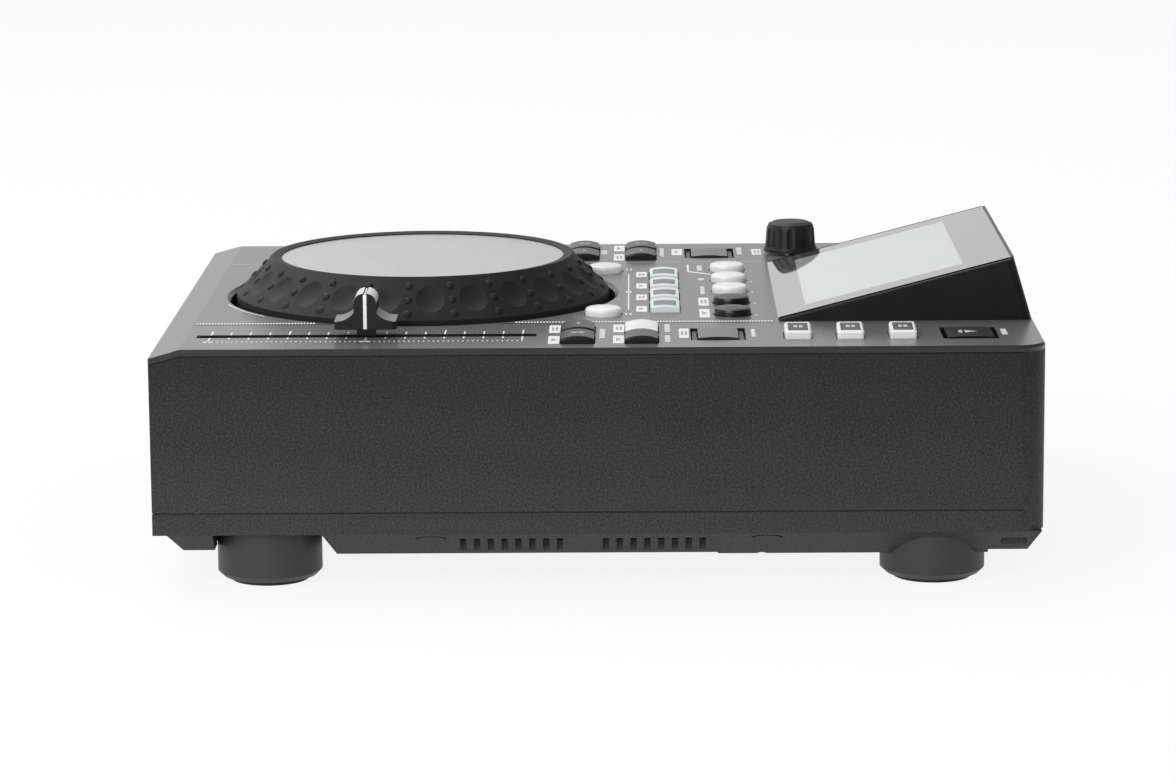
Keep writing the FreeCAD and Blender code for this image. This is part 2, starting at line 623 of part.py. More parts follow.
def make_keys():
    for name, kind, x, y in key_places():
        if kind == "round":
            make_round_key(name, x, y)
        elif kind == "square":
            make_sloped_key(name, x, y)
        else:
            make_flat_key(name, kind, x, y)


def make_control_board():
    """Board with a switch under every key, cut out round the jog wheel's dish and the pillars."""
    body = doc.addObject("PartDesign::Body", "board_plate")
    place(body)
    level = BOARD_TOP + " - board_thickness"
    outline = draw(body, "board_outline", "XY_Plane",
                   [box_loop("-board_half_width", "board_half_width", "board_front_y", "board_rear_y")],
                   level=level)
    pad(body, "board", outline, "board_thickness")
    notches = [("board_jog_radius", "0", "jog_y")]
    for side in SIDES:
        notches.append(("board_notch_radius", on_side(side, "pillar_x"), "pillar_rear_y"))
    notches.append(("select_shaft_radius + key_gap", "knob_x", "knob_y"))
    cut = draw(body, "board_notches", "XY_Plane", (), notches, level=level)
    pocket(body, "notches", cut, "board_thickness + 1", back=True)
    members = [body]
    for name, kind, x, y in key_places():
        members.append(new_block("switch_" + name, "switch_size", "switch_size", "switch_height",
                                 x, y, BOARD_TOP))
        members.append(new_block("plunger_" + name, "plunger_size", "plunger_size", "plunger_height",
                                 x, y, BOARD_TOP + " + switch_height"))
    board = doc.addObject("Part::MultiFuse", "control_board")
    board.Label = "control_board"
    board.Shapes = members
    parts.append(board)
    doc.recompute()


def bevel_x(height):
    """Half width of the tray at a height above its floor."""
    slope = "bevel_run / (skirt_level - tray_level)"
    return HALF_WIDTH + " - tray_step - bevel_run + %s * (%s)" % (slope, height)


def make_bottom_tray():
    """Pan with bevelled sides, a pocket for each foot, cooling slots and screw wells."""
    body = new_body("bottom_tray")
    top_half = HALF_WIDTH + " - tray_step"
    low_half = top_half + " - bevel_run"
    top_front = "front_lip - " + HALF_DEPTH
    low_front = top_front + " + front_slope"
    top_rear = HALF_DEPTH + " - tray_step"
    low_rear = top_rear + " - rear_slope"
    depth = "skirt_level - tray_level"
    cross = draw(body, "pan_section", "XZ_Plane", [[
        (minus(low_half), "tray_level"), (low_half, "tray_level"), (top_half, "skirt_level"),
        (minus(top_half), "skirt_level")]])
    block = pad(body, "pan_block", cross, "2 * (%s)" % top_rear, middle=True)
    ends = draw(body, "pan_ends", "YZ_Plane", [
        [(minus(HALF_DEPTH), "0"), (low_front, "0"), (low_front, "tray_level"), (top_front, "skirt_level"),
         (top_front, "skirt_level + wall"), (minus(HALF_DEPTH), "skirt_level + wall")],
        [(low_rear, "0"), (HALF_DEPTH, "0"), (HALF_DEPTH, "skirt_level"), (top_rear, "skirt_level"),
         (low_rear, "tray_level")]])
    block = pocket(body, "sloped_ends", ends, "body_width", middle=True)
    top = number("skirt_level") - 0.01
    shell(body, "pan_hollow", block, lambda face: face.BoundBox.ZMin > top, "wall")
    raised = draw(body, "front_floor_outline", "XY_Plane", [box_loop(
        "-(%s - wall)" % low_half, low_half + " - wall", low_front, "pocket_front_y + wall")],
        level="lip_level")
    pad(body, "front_floor", raised, "floor_thickness")
    low_blocks = []
    high_blocks = []
    pockets = []
    reach = "foot_radius + foot_pocket_gap + wall"
    step = "0.66 * (%s)" % depth
    for side in SIDES:
        x = on_side(side, "foot_x")
        inside = on_side(side, "(foot_x - (%s))" % reach)
        low_out = on_side(side, "(%s - wall / 2)" % low_half)
        high_out = on_side(side, "(%s)" % bevel_x(step + " - floor_thickness / 8"))
        for y, front, rear in (("foot_front_y", "pocket_front_y - wall", "pocket_rear_y + pocket_run + wall"),
                               ("foot_rear_y", "foot_rear_y - (%s)" % reach, "foot_rear_y + " + reach)):
            low_x = (inside, low_out) if SIDES[side] > 0 else (low_out, inside)
            high_x = (inside, high_out) if SIDES[side] > 0 else (high_out, inside)
            low_blocks.append(box_loop(low_x[0], low_x[1], front, rear))
            high_blocks.append(box_loop(high_x[0], high_x[1], front, rear))
            pockets.append(("foot_radius + foot_pocket_gap", x, y))
    sketch = draw(body, "foot_blocks_low", "XY_Plane", low_blocks, level="tray_level")
    pad(body, "foot_block_low", sketch, depth + " + foot_roof")
    sketch = draw(body, "foot_blocks_high", "XY_Plane", high_blocks, level="tray_level + " + step)
    pad(body, "foot_block_high", sketch, "%s + foot_roof - %s" % (depth, step))
    sketch = draw(body, "foot_rounds", "XY_Plane", (), pockets)
    pocket(body, "foot_pockets", sketch, "skirt_level", back=True)
    for side in SIDES:
        sketch = draw(body, "foot_box_" + side, "YZ_Plane", [[
            ("pocket_front_y", "0"), ("pocket_rear_y + pocket_run", "0"),
            ("pocket_rear_y + pocket_run", "middle_level"), ("pocket_rear_y", "skirt_level"),
            ("pocket_front_y", "skirt_level")]],
            level=on_side(side, "(foot_x - foot_radius - foot_pocket_gap)"))
        pocket(body, "front_pocket_" + side, sketch, "body_width", back=SIDES[side] > 0)
    behind_feet = "foot_rear_y + foot_radius + foot_pocket_gap"
    for name, front, rear, level in (("lip", minus(HALF_DEPTH), "pocket_front_y", "lip_level"),
                                     ("middle", "pocket_front_y", "middle_end_y", "middle_level"),
                                     ("rear", behind_feet, HALF_DEPTH, "rear_level")):
        sketch = draw(body, name + "_underside", "XY_Plane",
                      [box_loop(minus(HALF_WIDTH), HALF_WIDTH, front, rear)])
        pocket(body, name + "_step", sketch, level, back=True)
    lock_ends = ("lock_y - lock_length / 2 + lock_end", "lock_y + lock_length / 2 - lock_end")
    lock_edges = ("lock_level - lock_height / 2", "lock_level + lock_height / 2")
    sketch = draw(body, "lock_outline", "YZ_Plane", [[
        (lock_ends[0], lock_edges[0]), (lock_ends[1], lock_edges[0], "-lock_end"),
        (lock_ends[1], lock_edges[1]), (lock_ends[0], lock_edges[1], "-lock_end")]],
        level=HALF_WIDTH + " - lock_inset")
    pocket(body, "lock_recess", sketch, "2 * lock_inset", back=True)
    for name, first_y in (("front_vents", "vent_first_y"), ("rear_vents", "vent_second_y")):
        slots = [box_loop("vent_inner", "vent_outer", first_y, first_y + " + vent_width"),
                 box_loop("-vent_outer", "-vent_inner", first_y, first_y + " + vent_width")]
        sketch = draw(body, name + "_outline", "XY_Plane", slots)
        slot = pocket(body, name + "_slot", sketch, "skirt_level", back=True)
        along(body, name, slot, "Y_Axis", "(vent_count - 1) * vent_pitch", "vent_count")
    bosses = []
    wells = []
    bores = []
    for side in SIDES:
        for y in ("pillar_front_y", "pillar_rear_y"):
            bosses.append(("well_radius + wall / 2", on_side(side, "pillar_x"), y))
            wells.append(("well_radius", on_side(side, "pillar_x"), y))
            bores.append(("screw_radius + key_gap / 2", on_side(side, "pillar_x"), y))
    sketch = draw(body, "boss_rounds", "XY_Plane", (), bosses, level="tray_level + well_roof")
    pad(body, "bosses", sketch, depth + " - well_roof")
    sketch = draw(body, "well_rounds", "XY_Plane", (), wells)
    pocket(body, "wells", sketch, "skirt_level - well_roof", back=True)
    sketch = draw(body, "bore_rounds", "XY_Plane", (), bores)
    pocket(body, "bores", sketch, "skirt_level", back=True)
    legs = [("drive_leg_radius", on_side(side, "drive_leg_x"), y)
            for side in SIDES for y in ("drive_leg_front_y", "drive_leg_rear_y")]
    sketch = draw(body, "drive_legs", "XY_Plane", (), legs, level="tray_level + floor_thickness / 2")
    pad(body, "legs", sketch, "drive_floor - tray_level - floor_thickness / 2")
    posts = main_post_places()
    sketch = draw(body, "board_posts", "XY_Plane", (), posts, level="tray_level + floor_thickness / 2")
    pad(body, "posts", sketch, "main_level - tray_level - floor_thickness / 2")
    rails = [box_loop("supply_x - supply_width / 2 + wall", "supply_x - supply_width / 2 + 2 * wall",
                      "supply_y - supply_length / 4", "supply_y + supply_length / 4"),
             box_loop("supply_x + supply_width / 2 - 2 * wall", "supply_x + supply_width / 2 - wall",
                      "supply_y - supply_length / 4", "supply_y + supply_length / 4")]
    sketch = draw(body, "supply_rails", "XY_Plane", rails, level="tray_level + floor_thickness / 2")
    pad(body, "rails", sketch, "supply_level - tray_level - floor_thickness / 2")


def main_post_places():
    return [("main_post_radius", on_side(side, "(main_half_width - main_post_inset)"), y)
            for side in SIDES for y in ("main_front_y + main_post_inset", "main_rear_y - main_post_inset")]


def make_feet():
    """Round feet with a bevelled lower edge and a smaller sole."""
    for side in SIDES:
        for row, y in (("front", "foot_front_y"), ("rear", "foot_rear_y")):
            body = new_body("foot_%s_%s" % (row, side), on_side(side, "foot_x"), y, "0")
            section = draw(body, "foot_section", "XZ_Plane", [[
                ("0", "0"), ("sole_radius", "0"), ("sole_radius", "sole_height"),
                ("foot_radius - foot_chamfer", "sole_height"), ("foot_radius", "sole_height + foot_chamfer"),
                ("foot_radius", "skirt_level"), ("0", "skirt_level")]])
            turn(body, "foot_form", section)


DISH_FLOOR = "(-dish_depth)"


def make_jog():
    """Wheel with a dimpled flank, a bright plate in its top, and the shaft that carries it."""
    ring = new_body("jog_ring", "0", "jog_y", "top_level")
    web_top = "jog_plate_height - jog_plate_thickness"
    flank_x = "jog_skirt_radius"
    inner_low = "jog_skirt_radius - jog_wall"
    inner_high = "jog_rim_radius - jog_wall"
    hub_low = DISH_FLOOR + " + bearing_rise + seat_gap"
    section = draw(ring, "ring_section", "XZ_Plane", [[
        ("shaft_radius", hub_low), ("jog_hub_radius", hub_low),
        ("jog_hub_radius", web_top + " - jog_web"), (inner_high, web_top + " - jog_web"),
        (inner_low, "-jog_skirt_depth"), (flank_x + " - jog_wall / 6", "-jog_skirt_depth"),
        (flank_x, "-jog_skirt_depth + jog_wall / 6"), (flank_x, "jog_skirt_height"),
        ("jog_rim_radius", "jog_rim_height - jog_wall / 6"), ("jog_rim_radius - jog_wall / 6", "jog_rim_height"),
        ("jog_plate_radius + running_gap", "jog_plate_height + jog_wall / 10"),
        ("jog_plate_radius + running_gap", web_top), ("shaft_radius", web_top)]])
    turn(ring, "ring_form", section)
    dimple = ring.newObject("PartDesign::SubtractiveSphere", "dimple")
    bind(dimple, "Radius", "dimple_radius")
    slope = "atan((jog_skirt_radius - jog_rim_radius) / (jog_rim_height - jog_skirt_height))"
    reach = ("jog_skirt_radius - (jog_skirt_radius - jog_rim_radius) * (dimple_height - jog_skirt_height)"
             " / (jog_rim_height - jog_skirt_height)")
    out = "(%s + (dimple_radius - dimple_depth) * cos(%s))" % (reach, slope)
    dimple.MapMode = "Deactivated"
    place(dimple, out + " * cos(dimple_turn * 1 deg)", out + " * sin(dimple_turn * 1 deg)",
          "dimple_height + (dimple_radius - dimple_depth) * sin(%s)" % slope)
    doc.recompute()
    around(ring, "dimples", dimple, "dimple_count")
    plate = new_body("jog_plate", "0", "jog_y", "top_level")
    sketch = draw(plate, "plate_outline", "XY_Plane", (), [("jog_plate_radius",)], level=web_top)
    pad(plate, "plate", sketch, "jog_plate_thickness")
    shaft = new_body("jog_shaft", "0", "jog_y", "top_level")
    shaft_low = DISH_FLOOR + " - bearing_drop - encoder_hub_height"
    sketch = draw(shaft, "shaft_outline", "XY_Plane", (), [("shaft_radius",)], level=shaft_low)
    pad(shaft, "shaft", sketch, "%s - (%s)" % (web_top, shaft_low))


def make_jog_seat():
    """Dish under the wheel, the bush in its middle, and the slotted disc that the wheel turns."""
    dish = new_body("jog_dish", "0", "jog_y", "top_level")
    flange = "jog_hole_radius + dish_flange"
    wall_out = "jog_hole_radius + dish_wall"
    under = "-panel_thickness"
    floor_low = DISH_FLOOR + " - dish_wall"
    section = draw(dish, "dish_section", "XZ_Plane", [[
        ("bearing_radius", floor_low), (wall_out, floor_low), (wall_out, under + " - dish_wall"),
        (flange, under + " - dish_wall"), (flange, under), ("jog_hole_radius", under),
        ("jog_hole_radius", DISH_FLOOR), ("bearing_radius", DISH_FLOOR)]])
    turn(dish, "dish_form", section)
    bearing = new_body("jog_bearing", "0", "jog_y", "top_level")
    section = draw(bearing, "bearing_section", "XZ_Plane", [[
        ("shaft_radius + running_gap", DISH_FLOOR + " - bearing_drop"),
        ("bearing_radius", DISH_FLOOR + " - bearing_drop"),
        ("bearing_radius", floor_low + " - bearing_flange_height"),
        ("bearing_flange", floor_low + " - bearing_flange_height"), ("bearing_flange", floor_low),
        ("bearing_radius", floor_low), ("bearing_radius", DISH_FLOOR + " + bearing_rise"),
        ("shaft_radius + running_gap", DISH_FLOOR + " + bearing_rise")]])
    turn(bearing, "bearing_form", section)
    disc = new_body("jog_encoder_disc", "0", "jog_y", "top_level")
    top = DISH_FLOOR + " - bearing_drop - seat_gap"
    low = DISH_FLOOR + " - bearing_drop - encoder_hub_height"
    section = draw(disc, "disc_section", "XZ_Plane", [[
        ("shaft_radius", low), ("encoder_disc_radius", low),
        ("encoder_disc_radius", low + " + encoder_disc_thickness"),
        ("encoder_hub_radius", low + " + encoder_disc_thickness"), ("encoder_hub_radius", top),
        ("shaft_radius", top)]])
    turn(disc, "disc_form", section)
    slot = draw(disc, "slot_outline", "XY_Plane", [centred_box(
        "encoder_slot_length", "encoder_slot_width", "encoder_disc_radius - encoder_slot_length")],
        level=low)
    first = pocket(disc, "slot", slot, "encoder_hub_height", back=True)
    around(disc, "slots", first, "encoder_slot_count")


def make_fader():
    """Fader cap with scooped shoulders, its carriage and the track under the panel."""
    cap = new_body("pitch_fader_cap", "fader_x", "fader_y", "top_level")
    low = "cap_lift"
    shoulder = "cap_lift + cap_shoulder"
    neck = "cap_neck_height"
    crown_x = "cap_groove"
    crown = "cap_lift + cap_height"
    lobe = "-(cap_neck_half - cap_groove)"
    section = draw(cap, "cap_section", "YZ_Plane", [[
        ("-cap_half_length", low), ("cap_half_length", low), ("cap_half_length", shoulder, "cap_scoop_radius"),
        ("cap_neck_half", neck), ("cap_neck_half", "cap_side_height", lobe), (crown_x, crown),
        ("0", crown + " - cap_groove"), (minus(crown_x), crown, lobe), ("-cap_neck_half", "cap_side_height"),
        ("-cap_neck_half", neck, "cap_scoop_radius"), ("-cap_half_length", shoulder)]])
    form = pad(cap, "cap_form", section, "cap_width", middle=True)
    end = number("cap_half_length") - 0.01
    dress("Chamfer", cap, "cap_corners", form,
          lambda edge: is_upright(edge) and abs(middle_of(edge).y) > end, "cap_corner")
    socket = draw(cap, "socket_outline", "XY_Plane", [centred_box("stem_thickness", "stem_length")],
                  level=low)
    pocket(cap, "socket", socket, "cap_neck_height - cap_lift", back=True)
    carriage = new_body("pitch_fader_carriage", "fader_x", "fader_y", "top_level")
    track_low = "-panel_thickness - track_height"
    seat = track_low + " + track_wall + seat_gap"
    block = draw(carriage, "carriage_outline", "XY_Plane", [centred_box("carriage_width", "carriage_length")],
                 level=seat)
    pad(carriage, "carriage_block", block, "carriage_height")
    stem = draw(carriage, "stem_outline", "XY_Plane", [centred_box("stem_thickness", "stem_length")],
                level=seat)
    pad(carriage, "stem", stem, "cap_neck_height - (%s)" % seat)
    track = new_body("pitch_fader_track", "fader_x", "fader_y", "top_level")
    half = "track_width / 2"
    inner = "track_width / 2 - track_wall"
    channel = draw(track, "track_section", "XZ_Plane", [[
        (minus(half), "-panel_thickness"), (minus(half), track_low), (half, track_low), (half, "-panel_thickness"),
        (inner, "-panel_thickness"), (inner, track_low + " + track_wall"),
        (minus(inner), track_low + " + track_wall"), (minus(inner), "-panel_thickness")]])
    pad(track, "channel", channel, "track_length", middle=True)
    ends = []
    for sign in (1, -1):
        middle = "%d * (track_length / 2 - track_wall / 2)" % sign
        ends.append(centred_box("track_width", "track_wall", "0", middle))
    end_sketch = draw(track, "end_outline", "XY_Plane", ends, level=track_low)
    pad(track, "ends", end_sketch, "track_height")
    lips = []
    for sign in (1, -1):
        edge = "%d * (track_width / 2 - track_wall)" % sign
        slot_edge = "%d * (carriage_width / 2 + seat_gap)" % sign
        sides = (slot_edge, edge) if sign > 0 else (edge, slot_edge)
        lips.append(box_loop(sides[0], sides[1], "-track_length / 2 + track_wall / 2",
                             "track_length / 2 - track_wall / 2"))
    lip_sketch = draw(track, "guide_outline", "XY_Plane", lips, level=track_low)
    pad(track, "guides", lip_sketch, "track_wall + seat_gap + carriage_height / 2")


def make_knob():
    """Fluted knob, the shaft that it is pressed with, and the body that both work in."""
    knob = new_body("select_knob", "knob_x", "knob_y", "top_level")
    low = "knob_gap"
    top = "knob_gap + knob_height"
    inner = "select_shaft_radius + running_gap"
    section = draw(knob, "knob_section", "XZ_Plane", [[
        (inner, low), ("knob_base_radius", low), ("knob_base_radius", low + " + knob_skirt / 2"),
        ("knob_base_radius - knob_skirt / 4", low + " + knob_skirt"),
        ("knob_top_radius", top + " - knob_edge"),
        ("knob_top_radius - knob_fold * knob_edge", top + " - knob_fold * knob_edge"),
        ("knob_top_radius - knob_edge", top), ("0", top),
        ("0", low + " + knob_bore_depth"), (inner, low + " + knob_bore_depth")]])
    turn(knob, "knob_form", section)
    flute = knob.newObject("PartDesign::SubtractiveCylinder", "flute")
    bind(flute, "Radius", "flute_radius")
    bind(flute, "Height", "knob_height")
    flute.MapMode = "Deactivated"
    flute.Placement = FreeCAD.Placement(FreeCAD.Vector(), FreeCAD.Rotation(FreeCAD.Vector(0, -1, 0), 1))
    place(flute, "knob_base_radius - knob_skirt / 4 + flute_radius - flute_depth", "0", low + " + knob_skirt")
    bind(flute, "Placement.Rotation.Angle",
         "atan((knob_base_radius - knob_skirt / 4 - knob_top_radius) / (knob_height - knob_skirt - knob_edge))")
    doc.recompute()
    around(knob, "flutes", flute, "flute_count")
    shaft = new_body("select_shaft", "knob_x", "knob_y", "top_level")
    seat = DEEP_SEAT + " + select_box_height / 2"
    sketch = draw(shaft, "shaft_outline", "XY_Plane", (), [("select_shaft_radius",)], level=seat)
    pad(shaft, "shaft", sketch, "knob_gap + knob_bore_depth - running_gap - (%s)" % seat)
    holder = new_body("select_encoder", "knob_x", "knob_y", "top_level")
    box = draw(holder, "box_outline", "XY_Plane", [centred_box("select_box", "select_box")],
               level=DEEP_SEAT)
    pad(holder, "encoder_box", box, "-panel_thickness - (%s)" % DEEP_SEAT)
    bush = draw(holder, "bush_outline", "XY_Plane", (), [("bush_radius",)], level=DEEP_SEAT)
    pad(holder, "bush", bush, "bush_rise - (%s) - seat_gap" % DEEP_SEAT)
    bore = draw(holder, "bore_outline", "XY_Plane", (), [("select_shaft_radius + running_gap",)],
                level="%s - select_push - seat_gap" % seat)
    pocket(holder, "bore", bore, "top_level", back=True)


DEEP_SEAT = "(%s - top_level)" % BOARD_TOP


def slope_point(along_text, above_text):
    """Place in the Y and Z plane: so far up the tilted glass, so far above the housing's sloping face."""
    tilt = "(screen_tilt * 1 deg)"
    y = "screen_front_y + (%s) * cos%s - (%s) * sin%s" % (along_text, tilt, above_text, tilt)
    z = "top_level + (%s) * sin%s + (%s) * cos%s" % (along_text, tilt, above_text, tilt)
    return y, z


def make_display():
    """Wedge housing, the display in it and the glass over both."""
    housing = new_body("screen_housing")
    face_top = slope_point("glass_length", "0")
    lip_front = slope_point("glass_length", "glass_thickness")
    lip_rear = slope_point("glass_length + housing_lip", "glass_thickness")
    section = draw(housing, "housing_section", "YZ_Plane", [[
        ("screen_front_y", "top_level"), ("housing_rear_y", "top_level"), lip_rear, lip_front, face_top]])
    block = pad(housing, "wedge", section, "2 * housing_base_half", middle=True)
    side = "glass_length * sin(screen_tilt * 1 deg)"
    trims = []
    for sign in (1, -1):
        base = "%d * housing_base_half" % sign
        top = "%d * housing_top_half" % sign
        out = "%d * housing_base_half * 2" % sign
        high = "top_level + " + side
        trims.append([(base, "top_level"), (out, "top_level"), (out, high + " + housing_lip"),
                      ("%d * (housing_top_half - (housing_base_half - housing_top_half) * housing_lip / (%s))"
                       % (sign, side), high + " + housing_lip"), (top, high)])
    for index, trim in enumerate(trims):
        sketch = draw(housing, "flare_%d" % index, "XZ_Plane", [trim])
        block = pocket(housing, "flare_cut_%d" % index, sketch, EVERYTHING, middle=True)
    dress("Fillet", housing, "rear_edges", block, is_rear_side, "housing_corner")
    inner_low = slope_point("hollow_start", "-housing_wall")
    inner_high = slope_point("glass_length - housing_wall", "-housing_wall")
    hollow = draw(housing, "hollow_section", "YZ_Plane", [[
        (inner_low[0], "top_level - housing_wall"),
        ("housing_rear_y - housing_back_wall", "top_level - housing_wall"),
        inner_high, inner_low]])
    pocket(housing, "hollow", hollow, "2 * (housing_top_half - housing_wall)", middle=True)
    window = draw(housing, "window_section", "YZ_Plane", [[
        slope_point("display_start", "-2 * housing_wall"),
        slope_point("display_start + display_length", "-2 * housing_wall"),
        slope_point("display_start + display_length", "housing_wall"),
        slope_point("display_start", "housing_wall")]])
    pocket(housing, "window", window, "display_width", middle=True)
    glass = new_body("screen_glass")
    sheet_section = draw(glass, "glass_section", "YZ_Plane", [[
        slope_point("0", "0"), slope_point("glass_length - running_gap", "0"),
        slope_point("glass_length - running_gap", "glass_thickness"), slope_point("0", "glass_thickness")]])
    pad(glass, "glass", sheet_section, "glass_width", middle=True)
    display = new_body("display_module")
    start = "display_start + display_gap"
    end = "display_start + display_length - display_gap"
    module = draw(display, "module_section", "YZ_Plane", [[
        slope_point(start, "-display_thickness"), slope_point(end, "-display_thickness"),
        slope_point(end, "0"), slope_point(start, "0")]])
    pad(display, "module", module, "display_width - 2 * display_gap", middle=True)


def is_rear_side(edge):
    """The sloping edges between the housing's rear face and its sides."""
    ends = [vertex.Point for vertex in edge.Vertexes]
    if len(ends) < 2:
        return False
    tall = abs(ends[0].z - ends[1].z) > number("glass_length * sin(screen_tilt * 1 deg) / 2")
    return tall and min(ends[0].y, ends[1].y) > number("screen_front_y + glass_length / 2")


def make_slot_bezel():
    """Frame of the disc slot, with a tapered mouth and a flange behind the front wall."""
    body = new_body("slot_bezel")
    frame = draw(body, "frame_outline", "XZ_Plane",
                 [centred_box("bezel_width - 2 * bezel_gap", "bezel_height - 2 * bezel_gap", "0", "slot_level")],
                 level=HALF_DEPTH + " - wall")
    pad(body, "frame", frame, "wall")
    flange = draw(body, "flange_outline", "XZ_Plane",
                  [centred_box("bezel_width + 2 * bezel_flange", "bezel_height + 2 * bezel_flange",
                               "0", "slot_level")],
                  level=HALF_DEPTH + " - wall - bezel_flange_thickness")
    pad(body, "flange", flange, "bezel_flange_thickness")
    slot = draw(body, "slot_outline", "XZ_Plane", [centred_box("slot_width", "slot_height", "0", "slot_level")],
                level=HALF_DEPTH)
    cut = pocket(body, "slot", slot, "4 * wall", middle=True)
    front = number(minus(HALF_DEPTH))
    half = number("slot_height") / 2 + 0.01
    level = number("slot_level")
    dress("Chamfer", body, "mouth", cut,
          lambda edge: abs(middle_of(edge).y - front) < 0.01 and abs(middle_of(edge).z - level) < half
          and abs(middle_of(edge).x) < number("slot_width") / 2 + 0.01, "bezel_lead")


def make_drive():
    """Open sheet-metal chassis of the slot drive, with its motor and guide rods."""
    body = new_body("drive_chassis")
    half = "drive_half_width"
    inner = "drive_half_width - sheet"
    channel = draw(body, "chassis_section", "XZ_Plane", [
        box_loop(minus(half), half, "drive_floor", "drive_top"),
        box_loop(minus(inner), inner, "drive_floor + sheet", "drive_top - sheet")],
        level=minus("(drive_front_y + drive_rear_y) / 2"))
    pad(body, "chassis", channel, "drive_rear_y - drive_front_y", middle=True)
    clamp = draw(body, "clamp_outline", "XY_Plane", (), [("clamp_radius", "0", "spindle_y")],
                 level="drive_top - 2 * sheet")
    pocket(body, "clamp_hole", clamp, "4 * sheet", back=True)
    axle = draw(body, "journal_outline", "YZ_Plane", (), [
        ("journal_radius + running_gap", "roller_y", "roller_level")])
    pocket(body, "journal_holes", axle, EVERYTHING, middle=True)
    motor = draw(body, "motor_outline", "XY_Plane", (), [("motor_radius", "0", "spindle_y")],
                 level="drive_floor + sheet / 2")
    pad(body, "motor", motor, "motor_height + sheet / 2")
    bore = draw(body, "spindle_bore_outline", "XY_Plane", (), [("spindle_radius + running_gap", "0", "spindle_y")],
                level="drive_floor + sheet + motor_height - spindle_length - seat_gap")
    pocket(body, "spindle_bore", bore, "motor_height", back=True)
    blocks = []
    for y in ("rail_front_y", "rail_rear_y"):
        blocks.append(centred_box("2 * rail_x + rail_block", "rail_block / 3", "0", y))
    sketch = draw(body, "rail_blocks", "XY_Plane", blocks, level="drive_floor + sheet / 2")
    pad(body, "rail_posts", sketch, "rail_level + rail_radius + sheet - drive_floor - sheet / 2")
    rods = [("rail_radius", on_side(side, "rail_x"), "rail_level") for side in SIDES]
    sketch = draw(body, "rail_rounds", "XZ_Plane", (), rods, level=minus("rail_rear_y"))
    pad(body, "rails", sketch, "rail_rear_y - rail_front_y")


def make_drive_movers():
    """Turntable on its spindle, laser sled on the guide rods, and the roller that draws the disc in."""
    motor_top = "drive_floor + sheet + motor_height"
    table = new_body("drive_turntable", "0", "spindle_y", "0")
    low = motor_top + " + turntable_gap"
    high = low + " + turntable_thickness"
    section = draw(table, "table_section", "XZ_Plane", [[
        ("0", motor_top + " - spindle_length"), ("spindle_radius", motor_top + " - spindle_length"),
        ("spindle_radius", low), ("turntable_radius", low), ("turntable_radius", high),
        ("turntable_hub_radius", high), ("turntable_hub_radius", high + " + turntable_hub_height"),
        ("0", high + " + turntable_hub_height")]])
    turn(table, "table_form", section)
    sled = new_body("laser_sled", "0", "rail_front_y + rail_block / 6 + sled_gap + sled_length / 2", "rail_level")
    block = draw(sled, "sled_outline", "XZ_Plane", [centred_box("sled_width", "sled_height")])
    pad(sled, "sled_block", block, "sled_length", middle=True)
    bores = [("rail_radius + running_gap", on_side(side, "rail_x"), "0") for side in SIDES]
    sketch = draw(sled, "bore_rounds", "XZ_Plane", (), bores)
    pocket(sled, "rail_bores", sketch, "2 * sled_length", middle=True)
    lens = draw(sled, "lens_round", "XY_Plane", (), [("lens_radius",)], level="sled_height / 2")
    pad(sled, "lens", lens, "lens_height")
    roller = new_body("loading_roller", "0", "roller_y", "roller_level")
    sketch = draw(roller, "roller_round", "YZ_Plane", (), [("roller_radius",)])
    pad(roller, "rubber", sketch, "2 * roller_half", middle=True)
    sketch = draw(roller, "journal_round", "YZ_Plane", (), [("journal_radius",)])
    pad(roller, "journals", sketch, "2 * drive_half_width", middle=True)


def make_boards():
    """Main board with its larger components, and the mains supply in its cage."""
    body = new_body("main_board")
    outline = draw(body, "board_outline", "XY_Plane",
                   [box_loop("-main_half_width", "main_half_width", "main_front_y", "main_rear_y")],
                   level="main_level")
    pad(body, "board", outline, "board_thickness")
    middle = "(main_front_y + main_rear_y) / 2"
    chips = [centred_box("chip_size", "chip_size", "%g * chip_size" % place_x, middle + " - chip_size")
             for place_x in (-2.2, 0, 2.2)]
    sketch = draw(body, "chip_outlines", "XY_Plane", chips, level="main_level + board_thickness / 2")
    pad(body, "chips", sketch, "board_thickness / 2 + chip_height")
    sinks = [centred_box("chip_size * 1.6", "chip_size", "0", middle + " + chip_size")]
    sketch = draw(body, "sink_outline", "XY_Plane", sinks, level="main_level + board_thickness / 2")
    pad(body, "heat_sink", sketch, "board_thickness / 2 + heat_sink_height")
    supply = new_body("power_supply", "supply_x", "supply_y", "supply_level")
    base = draw(supply, "supply_outline", "XY_Plane", [centred_box("supply_width", "supply_length")])
    pad(supply, "supply_block", base, "supply_height")


